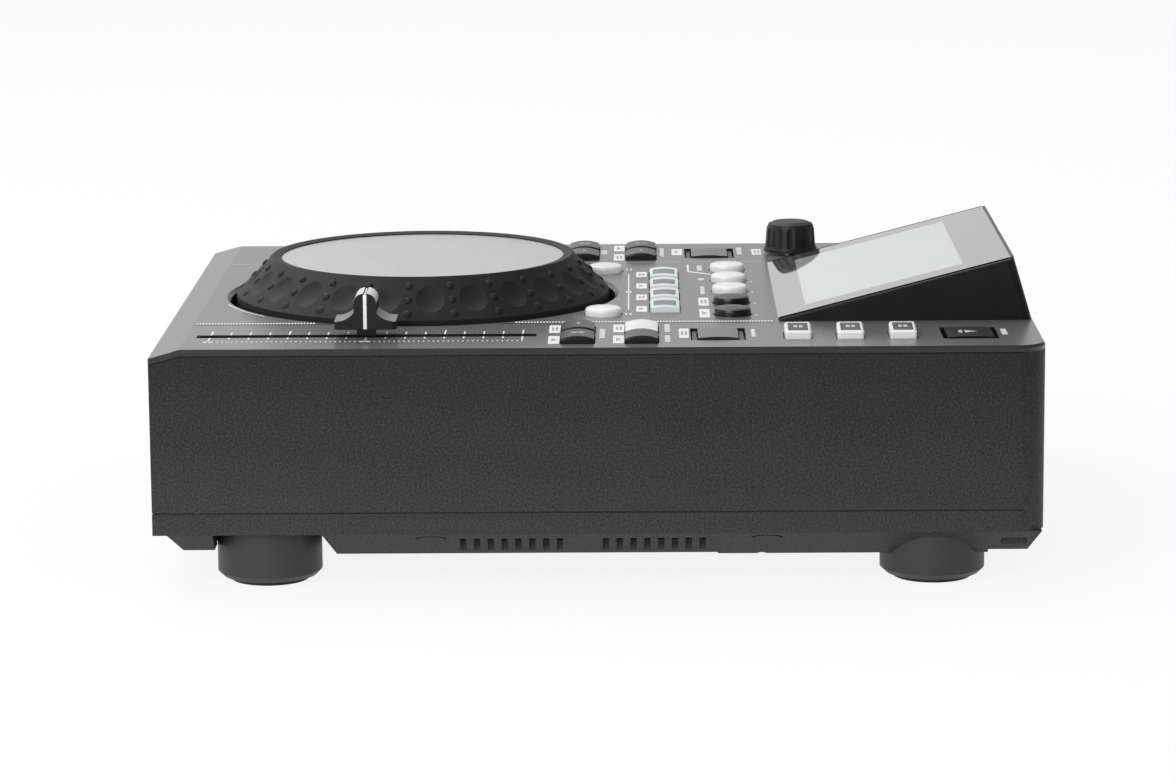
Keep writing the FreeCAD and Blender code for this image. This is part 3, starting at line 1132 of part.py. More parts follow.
def make_rear():
    """Connector plate, the sockets in it, the mains inlet and the rocker switch."""
    face = "(%s - jack_inset)" % HALF_DEPTH
    plate = new_body("rear_jack_plate")
    outline = draw(plate, "bay_outline", "XZ_Plane",
                   [centred_box("jack_width - 2 * bezel_gap", "jack_height - 2 * bezel_gap", "0", "jack_level")],
                   level=minus(HALF_DEPTH))
    pad(plate, "bay_block", outline, "jack_inset + jack_thickness")
    flange = draw(plate, "flange_outline", "XZ_Plane",
                  [centred_box("jack_width + jack_flange", "jack_height + jack_flange", "0", "jack_level")],
                  level="-(%s - wall)" % HALF_DEPTH)
    pad(plate, "flange", flange, "jack_thickness")
    bay_width = "jack_width - 2 * bezel_gap - 2 * jack_thickness"
    bay_height = "jack_height - 2 * bezel_gap - 2 * jack_thickness"
    recess = draw(plate, "recess_outline", "XZ_Plane", [centred_box(bay_width, bay_height, "0", "jack_level")],
                  level=minus(face))
    pocket(plate, "bay", recess, "2 * jack_inset")
    ears = []
    for sign in (1, -1):
        middle = "switch_x + %d * (rocker_width / 2 + rocker_gap + rocker_ear / 2)" % sign
        ears.append(centred_box("rocker_ear", "2 * rocker_ear_half", middle, "jack_level"))
    ear_sketch = draw(plate, "ear_outlines", "XZ_Plane", ears, level=minus(face + " - jack_thickness / 2"))
    pad(plate, "rocker_ears", ear_sketch, "rocker_depth + 2 * rocker_axle")
    pivot = draw(plate, "pivot_round", "YZ_Plane", (), [
        ("rocker_axle + running_gap", face + " - rocker_depth", "jack_level")], level="switch_x")
    pocket(plate, "pivot_bore", pivot, "2 * rocker_width", middle=True)
    circles = [("phono_radius + running_gap", "phono_x - %d * phono_pitch" % index, "jack_level")
               for index in range(3)]
    loops = [centred_box("usb_width", "usb_height", "usb_x", "jack_level"),
             centred_box("inlet_width", "inlet_height", "inlet_x", "jack_level"),
             centred_box("rocker_width + 2 * rocker_gap", "2 * rocker_radius + 2 * rocker_gap", "switch_x",
                         "jack_level")]
    cut = draw(plate, "socket_cutouts", "XZ_Plane", loops, circles, level=minus(face))
    pocket(plate, "socket_holes", cut, "2 * jack_thickness", middle=True)
    jacks = []
    for index in range(3):
        jacks.append(make_phono("phono_%d" % index, "phono_x - %d * phono_pitch" % index, face))
    jacks.append(make_usb(face))
    new_group("rear_jacks", jacks)
    inlet = new_body("power_inlet", "inlet_x", face, "jack_level")
    shell = draw(inlet, "inlet_outline", "XZ_Plane", [centred_box("inlet_width", "inlet_height")])
    pad(inlet, "inlet_block", shell, "inlet_depth")
    recess = draw(inlet, "recess_outline", "XZ_Plane", [
        centred_box("inlet_width - 2 * inlet_wall", "inlet_height - 2 * inlet_wall")])
    pocket(inlet, "recess", recess, "inlet_depth - inlet_wall", back=True)
    pins = [("inlet_pin / 2", "inlet_pin_half * %d" % sign, "inlet_height / 5") for sign in (1, -1)]
    sketch = draw(inlet, "pin_rounds", "XZ_Plane", (), pins, level="2 * inlet_wall")
    pad(inlet, "pins", sketch, "inlet_depth - 3 * inlet_wall + inlet_wall / 2")
    make_power_switch(face)


def make_phono(name, x, face):
    """Round socket: a sleeve on a wider base, open down its middle."""
    body = doc.addObject("PartDesign::Body", name)
    place(body, x, face, "jack_level")
    base = draw(body, "base_round", "XZ_Plane", (), [("phono_radius",)], level="jack_thickness * 3")
    pad(body, "sleeve", base, "phono_length + jack_thickness * 3", back=True)
    collar = draw(body, "collar_round", "XZ_Plane", (), [("phono_base_radius",)])
    pad(body, "collar", collar, "phono_base", back=True)
    bore = draw(body, "bore_round", "XZ_Plane", (), [("phono_bore",)])
    pocket(body, "bore", bore, "2 * phono_length", middle=False, back=False)
    return body


def make_usb(face):
    body = doc.addObject("PartDesign::Body", "data_socket")
    place(body, "usb_x", face, "jack_level")
    outer = draw(body, "shell_outline", "XZ_Plane", [centred_box("usb_width", "usb_height")])
    pad(body, "shell", outer, "usb_length")
    inner = draw(body, "mouth_outline", "XZ_Plane", [
        centred_box("usb_width - 2 * usb_wall", "usb_height - 2 * usb_wall")])
    pocket(body, "mouth", inner, "usb_length - usb_wall", back=True)
    tongue = draw(body, "tongue_outline", "XZ_Plane", [centred_box("usb_width / 2", "usb_tongue")],
                  level="2 * usb_wall")
    pad(body, "tongue", tongue, "usb_length - 2 * usb_wall")
    return body


def make_power_switch(face):
    """Rocker with two faces that meet in a shallow vee, round ends and an axle through its middle."""
    body = new_body("power_switch", "switch_x", face + " - rocker_depth", "jack_level")
    half_angle = "acos(rocker_depth / rocker_radius)"
    swing = "(rocker_angle * 1 deg)"
    low_z = "-rocker_radius * sin(%s)" % half_angle
    middle_z = "-rocker_depth * tan(%s / 2)" % swing
    high_y = "rocker_radius * cos(%s - %s)" % (half_angle, swing)
    high_z = "rocker_radius * sin(%s - %s)" % (half_angle, swing)
    section = draw(body, "rocker_section", "YZ_Plane", [[
        ("rocker_depth", low_z), ("rocker_depth", middle_z), (high_y, high_z, "-rocker_radius"),
        ("-rocker_depth", minus(low_z)), ("-rocker_depth", low_z, "-rocker_radius")]])
    pad(body, "rocker_block", section, "rocker_width", middle=True)
    axle = draw(body, "axle_round", "YZ_Plane", (), [("rocker_axle",)])
    pad(body, "axle", axle, "rocker_width + 2 * rocker_gap + 2 * rocker_ear", middle=True)


def make_screws():
    """Screws that pull the tray against the pillars, their heads down in the wells."""
    screws = []
    for side in SIDES:
        for row, y in (("front", "pillar_front_y"), ("rear", "pillar_rear_y")):
            x = on_side(side, "pillar_x")
            seat = "skirt_level - well_roof"
            head = new_rod("head_%s_%s" % (side, row), "screw_head_radius", "screw_head_height", x, y,
                           seat + " - screw_head_height")
            shank = new_rod("shank_%s_%s" % (side, row), "screw_radius", "screw_length", x, y, seat)
            screw = doc.addObject("Part::Fuse", "screw_%s_%s" % (side, row))
            screw.Base = head
            screw.Tool = shank
            screws.append(screw)
    new_group("case_screws", screws)


def check_and_write():
    """Every object must be sound before anything is written."""
    for thing in doc.Objects:
        if "Invalid" in thing.State or "Error" in thing.State:
            raise RuntimeError("%s (%s) failed: %s" % (thing.Name, thing.Label, thing.State))
    os.makedirs("parts", exist_ok=True)
    for part in parts:
        if part.Shape.isNull() or not part.Shape.isValid():
            raise RuntimeError("%s has no sound shape" % part.Label)
    for part in parts:
        part.Shape.exportStep("parts/%s.step" % part.Label)


make_upper_case()
make_top_panel()
make_bottom_tray()
make_feet()
make_jog()
make_jog_seat()
make_fader()
make_knob()
make_display()
make_keys()
make_control_board()
make_slot_bezel()
make_drive()
make_drive_movers()
make_boards()
make_rear()
make_screws()
doc.recompute()
check_and_write()
print(len(parts), "sub-parts written")
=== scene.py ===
import json
import math

import bmesh
import bpy
from mathutils import Matrix, Vector

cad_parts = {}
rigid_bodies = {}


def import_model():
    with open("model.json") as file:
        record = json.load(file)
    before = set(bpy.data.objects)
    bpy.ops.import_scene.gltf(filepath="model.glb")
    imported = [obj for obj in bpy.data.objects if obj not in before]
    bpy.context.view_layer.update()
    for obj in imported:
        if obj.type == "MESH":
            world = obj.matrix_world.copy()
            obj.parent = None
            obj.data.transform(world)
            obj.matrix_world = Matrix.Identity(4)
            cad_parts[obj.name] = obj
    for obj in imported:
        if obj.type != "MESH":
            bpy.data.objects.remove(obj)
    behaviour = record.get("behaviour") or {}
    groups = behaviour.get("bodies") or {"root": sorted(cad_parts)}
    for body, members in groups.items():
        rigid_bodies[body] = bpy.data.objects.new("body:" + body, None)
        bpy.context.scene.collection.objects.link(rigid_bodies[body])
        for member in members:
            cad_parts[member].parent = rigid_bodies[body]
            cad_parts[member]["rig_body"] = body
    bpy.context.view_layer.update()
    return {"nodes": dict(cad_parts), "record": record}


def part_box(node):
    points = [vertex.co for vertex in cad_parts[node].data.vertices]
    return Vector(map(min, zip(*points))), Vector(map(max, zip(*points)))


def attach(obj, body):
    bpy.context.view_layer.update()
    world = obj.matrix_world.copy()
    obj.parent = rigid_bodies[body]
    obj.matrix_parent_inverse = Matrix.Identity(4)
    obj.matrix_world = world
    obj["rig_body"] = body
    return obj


# Looks of the tabletop disc player. Lengths are in millimetres up to the helper that makes a mesh.

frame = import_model()

MM = 0.001
PLAYER = "player_body"


# Places taken from the solids


def box_mm(node):
    low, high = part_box(node)
    return low / MM, high / MM


def middle(node):
    low, high = box_mm(node)
    return (low + high) / 2


TOP = box_mm("top_panel")[1].z
JOG = middle("jog_plate")
RIM_TOP = box_mm("jog_ring")[1].z
SKIRT_RADIUS = (box_mm("jog_ring")[1].x - box_mm("jog_ring")[0].x) / 2
FADER = middle("pitch_fader_cap")
SIDES = ("left", "right")
GLASS_LOW, GLASS_HIGH = box_mm("screen_glass")
TILT = math.radians(14.5)


# Materials


# Noise scale of the light specks in the case's grain, how much denser they get towards the table to paint the
# light thrown up from the floor, and which noise shows
SPECK_SCALE = 1500
FLOOR_GLOW_LIFT = 0.3
SPECK_AND_GLOW_SPAN = (0.5, 0.85)
# Span that the noise mostly stays in
NOISE_SPAN = (0.3, 0.7)
# Upward part of the normal, from level faces to steep ones, over which the painted shade of the sides comes
# in
LEVEL_TO_STEEP = (0.93, 0.74)


def enabled(sockets, name):
    """The socket of that name that is in use, as a mix node has one for each kind of value."""
    return next(socket for socket in sockets if socket.name == name and socket.enabled)


def link(tree, start, start_socket, end, end_socket):
    outlet = (start.outputs[start_socket] if isinstance(start_socket, int)
              else enabled(start.outputs, start_socket))
    inlet = end.inputs[end_socket] if isinstance(end_socket, int) else enabled(end.inputs, end_socket)
    tree.links.new(outlet, inlet)


def noise(tree, coordinates, scale, detail=3.0, stretch=(1, 1, 1)):
    """Noise over the object's own coordinates, which are metres."""
    mapping = tree.nodes.new("ShaderNodeMapping")
    mapping.inputs["Scale"].default_value = stretch
    link(tree, coordinates, "Object", mapping, "Vector")
    texture = tree.nodes.new("ShaderNodeTexNoise")
    texture.inputs["Scale"].default_value = scale
    texture.inputs["Detail"].default_value = detail
    link(tree, mapping, "Vector", texture, "Vector")
    return texture


def map_range(tree, start, socket, source, target=(0.0, 1.0)):
    """Takes a number from the source span to the target span, and holds it there."""
    node = tree.nodes.new("ShaderNodeMapRange")
    for name, value in zip(("From Min", "From Max", "To Min", "To Max"), (*source, *target)):
        node.inputs[name].default_value = value
    link(tree, start, socket, node, "Value")
    return node


def maths(tree, operation, first, second):
    """Arithmetic on two inputs, each one a number or a node with its socket."""
    node = tree.nodes.new("ShaderNodeMath")
    node.operation = operation
    for index, value in enumerate((first, second)):
        if isinstance(value, tuple):
            link(tree, *value, node, index)
        else:
            node.inputs[index].default_value = value
    return node


def spread(tree, texture, low, high):
    """A number from low to high that follows the noise."""
    return map_range(tree, texture, "Fac", NOISE_SPAN, (low, high))


def specks_with_floor_glow(tree, coordinates):
    """Fine grain specks, made denser towards the table: painted light thrown up from the floor."""
    texture = noise(tree, coordinates, SPECK_SCALE, detail=4.0)
    split = tree.nodes.new("ShaderNodeSeparateXYZ")
    link(tree, coordinates, "Object", split, "Vector")
    floor_glow = map_range(tree, split, "Z", (TOP * MM, 0.0), (0.0, FLOOR_GLOW_LIFT))
    specks_and_glow = maths(tree, "ADD", (texture, "Fac"), (floor_glow, "Result"))
    return map_range(tree, specks_and_glow, "Value", SPECK_AND_GLOW_SPAN)


def mixed(tree, first, first_socket, other, fac, fac_socket):
    """Colour that goes from the first one to the other with fac."""
    mix = tree.nodes.new("ShaderNodeMix")
    mix.data_type = "RGBA"
    enabled(mix.inputs, "B").default_value = (*other, 1)
    link(tree, fac, fac_socket, mix, "Factor")
    link(tree, first, first_socket, mix, "A")
    return mix


def side_shade_mask(tree):
    """1 on steep faces and 0 on level ones: where the sides get their painted shade."""
    geometry = tree.nodes.new("ShaderNodeNewGeometry")
    split = tree.nodes.new("ShaderNodeSeparateXYZ")
    link(tree, geometry, "Normal", split, "Vector")
    return map_range(tree, split, "Z", LEVEL_TO_STEEP)


def new_material(name, dark, light, roughness, wave=60, stretch=(1, 1, 1), grain=2500, grain_height=0.0,
                 grain_stretch=(1, 1, 1), specks=None, painted_side_shade=None, **sockets):
    """Surface with a slow change of colour and gloss, and a fine grain of its own height in millimetres."""
    material = bpy.data.materials.new(name)
    material.use_nodes = True
    tree = material.node_tree
    shader = tree.nodes["Principled BSDF"]
    coordinates = tree.nodes.new("ShaderNodeTexCoord")
    slow = noise(tree, coordinates, wave, stretch=stretch)
    ramp = tree.nodes.new("ShaderNodeValToRGB")
    ramp.color_ramp.elements[0].position = NOISE_SPAN[0]
    ramp.color_ramp.elements[1].position = NOISE_SPAN[1]
    ramp.color_ramp.elements[0].color = (*dark, 1)
    ramp.color_ramp.elements[1].color = (*light, 1)
    link(tree, slow, "Fac", ramp, "Fac")
    colour = (ramp, "Color")
    # Light specks of the grain, denser towards the table as painted light from the floor
    if specks:
        colour = (mixed(tree, *colour, specks, specks_with_floor_glow(tree, coordinates), "Result"), "Result")
    # Steep faces get a darker colour: painted shade on the sides
    if painted_side_shade:
        colour = (mixed(tree, *colour, painted_side_shade, side_shade_mask(tree), "Result"), "Result")
    link(tree, *colour, shader, "Base Color")
    fine = noise(tree, coordinates, grain, detail=2.0, stretch=grain_stretch)
    gloss = spread(tree, fine, roughness[0], roughness[1])
    link(tree, gloss, "Result", shader, "Roughness")
    if grain_height > 0:
        bump = tree.nodes.new("ShaderNodeBump")
        bump.inputs["Strength"].default_value = 1.0
        bump.inputs["Distance"].default_value = grain_height * MM
        link(tree, fine, "Fac", bump, "Height")
        link(tree, bump, "Normal", shader, "Normal")
    for socket, value in sockets.items():
        shader.inputs[socket.replace("_", " ")].default_value = value
    return material


def grey(level, warm=0.0):
    return (level * (1 + warm), level, level * (1 - warm))


MATERIALS = {
    "case_plastic": new_material("case_plastic", grey(0.008), grey(0.011), (0.48, 0.6), wave=45, grain=1300,
                                 grain_height=0.03, specks=grey(0.04), Specular_IOR_Level=0.36),
    "panel_coat": new_material("panel_coat", grey(0.12, 0.02), grey(0.132, 0.02), (0.25, 0.29), wave=30,
                               grain=3000, grain_height=0.0002, painted_side_shade=grey(0.008), Specular_IOR_Level=1.0),
    "dark_plastic": new_material("dark_plastic", grey(0.02), grey(0.026), (0.45, 0.6), grain_height=0.01),
    "dark_metal": new_material("dark_metal", grey(0.035), grey(0.045), (0.4, 0.5), grain_height=0.008),
    "black_gloss": new_material("black_gloss", grey(0.007), grey(0.01), (0.28, 0.36), grain=2200,
                                grain_height=0.003, Specular_IOR_Level=0.35),
    "glass": new_material("glass", grey(0.085), grey(0.095), (0.02, 0.04), Coat_Weight=1.0,
                          Coat_Roughness=0.02, Coat_IOR=1.95, Specular_IOR_Level=1.0),
    # The display's pale colour paints the reflection of the bright surroundings on its dark glass
    "display": new_material("display", (0.6, 0.63, 0.62), (0.63, 0.66, 0.65), (0.02, 0.05), Coat_Weight=1.0,
                            Coat_Roughness=0.02, Coat_IOR=1.95),
    "foot_plastic": new_material("foot_plastic", grey(0.026), grey(0.032), (0.45, 0.55), grain_height=0.004),
    "jog_rubber": new_material("jog_rubber", grey(0.010), grey(0.014), (0.5, 0.6), wave=90, grain=2600,
                               grain_height=0.003, Specular_IOR_Level=0.3),
    "plate_aluminium": new_material("plate_aluminium", grey(0.62), grey(0.65), (0.3, 0.32), wave=50,
                                    stretch=(1, 8, 1), grain=500, grain_height=0.0005,
                                    grain_stretch=(1, 30, 1), Metallic=1.0),
    "steel": new_material("steel", grey(0.48), grey(0.56), (0.28, 0.4), grain=800, grain_stretch=(1, 12, 1),
                          grain_height=0.002, Metallic=1.0),
    "bronze": new_material("bronze", (0.42, 0.27, 0.12), (0.5, 0.33, 0.16), (0.3, 0.42), Metallic=1.0,
                           grain_height=0.004),
    "black_plastic": new_material("black_plastic", grey(0.03), grey(0.036), (0.3, 0.36), grain=2400,
                                  grain_height=0.001, painted_side_shade=grey(0.005)),
    "circuit": new_material("circuit", (0.01, 0.06, 0.03), (0.014, 0.09, 0.04), (0.25, 0.35), wave=220),
    "roller_rubber": new_material("roller_rubber", grey(0.05), grey(0.06), (0.6, 0.75), grain_height=0.01),
    "nickel": new_material("nickel", grey(0.6, 0.03), grey(0.68, 0.03), (0.14, 0.22), Metallic=1.0),
    "pad_plastic": new_material("pad_plastic", (0.70, 0.745, 0.75), (0.75, 0.79, 0.80), (0.16, 0.24)),
    "white_plastic": new_material("white_plastic", grey(0.77), grey(0.81), (0.2, 0.3)),
    "grey_plastic": new_material("grey_plastic", grey(0.12, 0.02), grey(0.15, 0.02), (0.3, 0.4),
                                 grain_height=0.004, painted_side_shade=grey(0.02)),
}
PRINT = new_material("white_print", grey(0.8), grey(0.85), (0.45, 0.6), wave=900)
PRINT_DIM = new_material("grey_print", grey(0.46), grey(0.54), (0.45, 0.6), wave=900)
INK = new_material("dark_print", grey(0.3), grey(0.36), (0.4, 0.5), wave=900)
KNOB = new_material("knob_rubber", grey(0.009), grey(0.013), (0.42, 0.5), grain=2600, grain_height=0.004,
                    Specular_IOR_Level=0.4)
WELL = new_material("well_grey", grey(0.09), grey(0.11), (0.4, 0.5), grain_height=0.003)
# Near-black without gloss: painted shade over the screws and behind the cooling slots, and the black trim
# round the fader's slot and along the glass
BLACK_SHADE_AND_TRIM = new_material("black_shade_and_trim", grey(0.002), grey(0.003), (0.9, 1.0), grain_height=0.02,
                    Specular_IOR_Level=0.05)
# Pale and grey skins for the fader cap's lobes and shoulders: painted reflection of the bright surroundings
# on the black cap
PAINTED_REFLECTION_LIGHT = new_material("painted_reflection_light", grey(0.6), grey(0.66), (0.3, 0.4), grain_height=0.003)
PAINTED_REFLECTION_GREY = new_material("painted_reflection_grey", grey(0.22), grey(0.26), (0.3, 0.4), grain_height=0.003)
WINDOW_BLUE = new_material("smoked_window", (0.14, 0.155, 0.16), (0.17, 0.185, 0.19), (0.25, 0.35), wave=140)
WINDOW_DARK = new_material("dark_window", grey(0.018), grey(0.026), (0.2, 0.3), wave=140)
SOLE = new_material("sole_rubber", grey(0.014), grey(0.02), (0.6, 0.75), grain_height=0.01)

for subpart in frame["record"]["subparts"]:
    mesh = frame["nodes"][subpart["node"]].data
    mesh.materials.clear()
    mesh.materials.append(KNOB if subpart["node"] == "select_knob" else MATERIALS[subpart["material_slot"]])


# Mesh helpers


def finish_mesh(name, mesh_data, material, body, smooth=True):
    """Turns millimetre mesh code into a piece that rides on a body."""
    bmesh.ops.recalc_face_normals(mesh_data, faces=mesh_data.faces)
    mesh = bpy.data.meshes.new(name)
    mesh_data.to_mesh(mesh)
    mesh_data.free()
    mesh.transform(Matrix.Scale(MM, 4))
    mesh.materials.append(material)
    if smooth:
        mesh.polygons.foreach_set("use_smooth", [True] * len(mesh.polygons))
        mesh.set_sharp_from_angle(angle=math.radians(32))
    piece = bpy.data.objects.new(name, mesh)
    bpy.context.scene.collection.objects.link(piece)
    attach(piece, body)
    return piece


def add_solid(mesh_data, outline, low, high, place=None):
    """Closed prism over an outline of (x, y) points, from low to high, moved by place."""
    place = place or Matrix.Identity(4)
    bottom = [mesh_data.verts.new(place @ Vector((x, y, low))) for x, y in outline]
    top = [mesh_data.verts.new(place @ Vector((x, y, high))) for x, y in outline]
    mesh_data.faces.new(bottom[::-1])
    mesh_data.faces.new(top)
    for index in range(len(outline)):
        following = (index + 1) % len(outline)
        mesh_data.faces.new((bottom[index], bottom[following], top[following], top[index]))


def rectangle(left, right, front, rear):
    return [(left, front), (right, front), (right, rear), (left, rear)]


def round_rectangle(length, width, radius, x=0.0, y=0.0, steps=5):
    points = []
    for quarter in range(4):
        angle = math.pi / 2 * quarter
        corner_x = (length / 2 - radius) * (1 if quarter in (0, 3) else -1)
        corner_y = (width / 2 - radius) * (1 if quarter in (0, 1) else -1)
        for step in range(steps + 1):
            turn = angle + math.pi / 2 * step / steps
            points.append((x + corner_x + radius * math.cos(turn), y + corner_y + radius * math.sin(turn)))
    return points


def disc(x, y, radius, steps=20):
    return [(x + radius * math.cos(math.tau * step / steps), y + radius * math.sin(math.tau * step / steps))
            for step in range(steps)]


# Printing on the top panel: X range and Y range of each mark

PRINT_HEIGHT = 0.04
INK_HEIGHT = 0.06

LABEL_BOXES = [
    (66, 80, -15.7, -12.1), (86, 100, -15.7, -12.1), (65.2, 79.2, 4.9, 8.5), (85.6, 99.6, 4.9, 8.5),
    (73.4, 90.4, 26, 29.1), (-103, -90, 4.3, 8.1), (-83, -68.5, 4.3, 8.1), (-94.3, -80.4, 25, 28.8),
    (-93.3, -80.4, 53.7, 57.2), (29.3, 40.3, 12.3, 15.9), (5.8, 16.8, 12.3, 15.9),
    (-17.7, -6.7, 12.3, 15.9), (-42.3, -31.3, 12.3, 15.9), (36, 52, 33.1, 36.5), (13.1, 29.1, 33.1, 36.5),
]
SMALL_MARKS = [
    (73.8, 90.5, 0.5, 2.3), (65.4, 79.7, 21.4, 23.1), (86.1, 98, 21.4, 23.1), (75.4, 89.6, 49.1, 50.4),
    (77.2, 87.9, 129, 130.8), (-91.9, -82.3, -0.3, 1.8), (-96, -76.8, 20.7, 22.2), (-96.7, -80.6, 48.4, 50.2),
    (-10, 5.9, 34.1, 35.5), (-27.6, -23.1, 33.7, 35.6), (-56, -44, 33.6, 35.3),
]
NUMBER_MARKS = [(48, 51.8), (25, 51.8), (2, 51.8), (-20.5, 51.8), (-43.8, 51.8)]


def panel_print(name, outlines, material, height, low=TOP - 0.01):
    mesh_data = bmesh.new()
    for outline in outlines:
        add_solid(mesh_data, outline, low, TOP + height)
    return finish_mesh(name, mesh_data, material, PLAYER, smooth=False)


def dashes(left, right, front, rear):
    """A small word-like mark as a row of short strokes, none of them a letter."""
    usual_pitch = 2.3
    stroke = 0.62
    count = max(2, round((right - left) / usual_pitch))
    step = (right - left) / count
    return [rectangle(left + step * index, left + step * (index + stroke), front, rear)
            for index in range(count)]


DIGIT_BARS = {1: "bc", 2: "abged", 3: "abgcd", 4: "fgbc", 5: "afgcd"}


def digit(number, x, y, width=1.1, height=1.7, stroke=0.28):
    """Seven-bar digit, read from the +X side with its top towards -X."""
    half = height / 2
    bars = {
        "a": (x - half, x - half + stroke, y, y + width), "g": (x - stroke / 2, x + stroke / 2, y, y + width),
        "d": (x + half - stroke, x + half, y, y + width), "f": (x - half, x, y, y + stroke),
        "b": (x - half, x, y + width - stroke, y + width), "e": (x, x + half, y, y + stroke),
        "c": (x, x + half, y + width - stroke, y + width),
    }
    return [rectangle(*bars[letter]) for letter in DIGIT_BARS[number]]


def label_outlines():
    corner = 0.5
    outlines = [round_rectangle(right - left, rear - front, corner, (left + right) / 2, (front + rear) / 2,
                                steps=3)
                for left, right, front, rear in LABEL_BOXES]
    for mark in SMALL_MARKS:
        outlines += dashes(*mark)
    for index, (x, y) in enumerate(NUMBER_MARKS):
        outlines += digit(5 - index, x, y - 0.6)
    return outlines


def ink_outlines():
    """Plain signs in the label boxes: a triangle and two strokes by turns."""
    outlines = []
    for index, (left, right, front, rear) in enumerate(LABEL_BOXES):
        x = (left + right) / 2
        y = (front + rear) / 2
        reach = (right - left) * 0.22
        if index % 2:
            outlines.append([(x - reach, y - 0.8), (x + reach, y - 0.8), (x, y + 0.9)])
        else:
            outlines.append(rectangle(x - reach, x + reach, y - 0.95, y - 0.25))
            outlines.append(rectangle(x - reach, x + reach, y + 0.3, y + 1.0))
    return outlines


def line_outlines():
    outlines = []
    # White line between the wheel and the pads, with a sign at its middle and ends
    outlines.append(rectangle(-37.9, 36.4, 9.5, 9.95))
    for x in (-48, 0.2, 44.6):
        outlines.append(rectangle(x - 1.6, x + 1.6, 8.75, 9.3))
        outlines.append(rectangle(x - 1.6, x + 1.6, 10.15, 10.7))
    # Bracket in front of the far round keys
    outlines.append(rectangle(-57.9, -42.6, 30.1, 30.75))
    outlines.append([(-42.0, 30.1), (-35.7, 38.1), (-37.0, 38.5), (-43.4, 30.75)])
    # Arc and square mark by the wheel
    inner = 67.4
    outer = 67.8
    turns = [math.radians(angle) for angle in range(-72, -47, 3)]
    for first, second in zip(turns, turns[1:]):
        outlines.append([(JOG.x + outer * math.cos(first), JOG.y + outer * math.sin(first)),
                         (JOG.x + outer * math.cos(second), JOG.y + outer * math.sin(second)),
                         (JOG.x + inner * math.cos(second), JOG.y + inner * math.sin(second)),
                         (JOG.x + inner * math.cos(first), JOG.y + inner * math.sin(first))])
    return outlines


# Pitch scale: its first tick, the step and count of its spaces, and half a tick's and a dot's width
SCALE_START = -124
SCALE_STEP = 6.25
SCALE_SPACES = 16
DOTS_PER_SPACE = 4
HALF_TICK = 0.24
HALF_DOT = 0.22


def scale_outlines():
    """Ticks of the pitch scale on both sides of the slot, and fine dots between them."""
    outlines = []
    for index in range(SCALE_SPACES + 1):
        y = SCALE_START + SCALE_STEP * index
        main = index % (SCALE_SPACES // 2) == 0
        far = 74.0 if main or index % 4 == 0 else 76.6
        outlines.append(rectangle(far, 81.2, y - HALF_TICK, y + HALF_TICK))
        outlines.append(rectangle(86.2, 88.9 if not main else 92.0, y - HALF_TICK, y + HALF_TICK))
    for index in range(SCALE_SPACES * DOTS_PER_SPACE + 1):
        y = SCALE_START + SCALE_STEP / DOTS_PER_SPACE * index
        outlines.append(rectangle(93.2, 94.5, y - HALF_DOT, y + HALF_DOT))
    outlines.append(rectangle(93.2, 94.6, -75.4, -72.6))
    outlines.append(rectangle(93.2, 94.6, -125.4, -122.6))
    return outlines


# Ends of the lines along the panel, and how far from the wheel's axis they stay
STRIP_FRONT = -131
STRIP_REAR = 57
WHEEL_CLEAR = 66.7


def dotted_line(x, front, rear, pitch=1.0, length=0.55, width=2.2):
    count = int((rear - front) / pitch)
    return [rectangle(x - width / 2, x + width / 2, front + pitch * index, front + pitch * index + length)
            for index in range(count)]


def clear_of_wheel(outline):
    return all(math.hypot(x - JOG.x, y - JOG.y) > WHEEL_CLEAR for x, y in outline)


def strip(x, **sizes):
    """Dotted line along the panel, broken where the wheel is."""
    outlines = dotted_line(x, STRIP_FRONT, STRIP_REAR, **sizes)
    return [outline for outline in outlines if clear_of_wheel(outline)]


panel_print("panel_labels", label_outlines(), PRINT, PRINT_HEIGHT)
panel_print("panel_label_signs", ink_outlines(), INK, INK_HEIGHT, low=TOP + PRINT_HEIGHT - 0.01)
panel_print("panel_lines", line_outlines(), PRINT, PRINT_HEIGHT)
panel_print("pitch_scale", scale_outlines(), PRINT, PRINT_HEIGHT)
panel_print("strip_dots", strip(59.6), PRINT, PRINT_HEIGHT)
panel_print("strip_line", strip(61.6, pitch=2, length=2.01, width=0.9), MATERIALS["black_gloss"],
            PRINT_HEIGHT)
panel_print("far_strip_line", strip(-64.5, pitch=2, length=2.01, width=0.5), PRINT_DIM, PRINT_HEIGHT)


def slot_lip():
    """Black lip round the fader's slot."""
    half_slot = 1.0
    half_lip = 2.4
    half_length = 53.7
    end_width = 0.7
    strips = []
    for side in (1, -1):
        across = sorted((FADER.x + side * half_slot, FADER.x + side * half_lip))
        strips.append(rectangle(*across, FADER.y - half_length, FADER.y + half_length))
        along = sorted((FADER.y + side * half_length, FADER.y + side * (half_length + end_width)))
        strips.append(rectangle(FADER.x - half_lip, FADER.x + half_lip, *along))
    return panel_print("pitch_slot_lip", strips, BLACK_SHADE_AND_TRIM, PRINT_HEIGHT)


slot_lip()


# Windows and signs of the keys


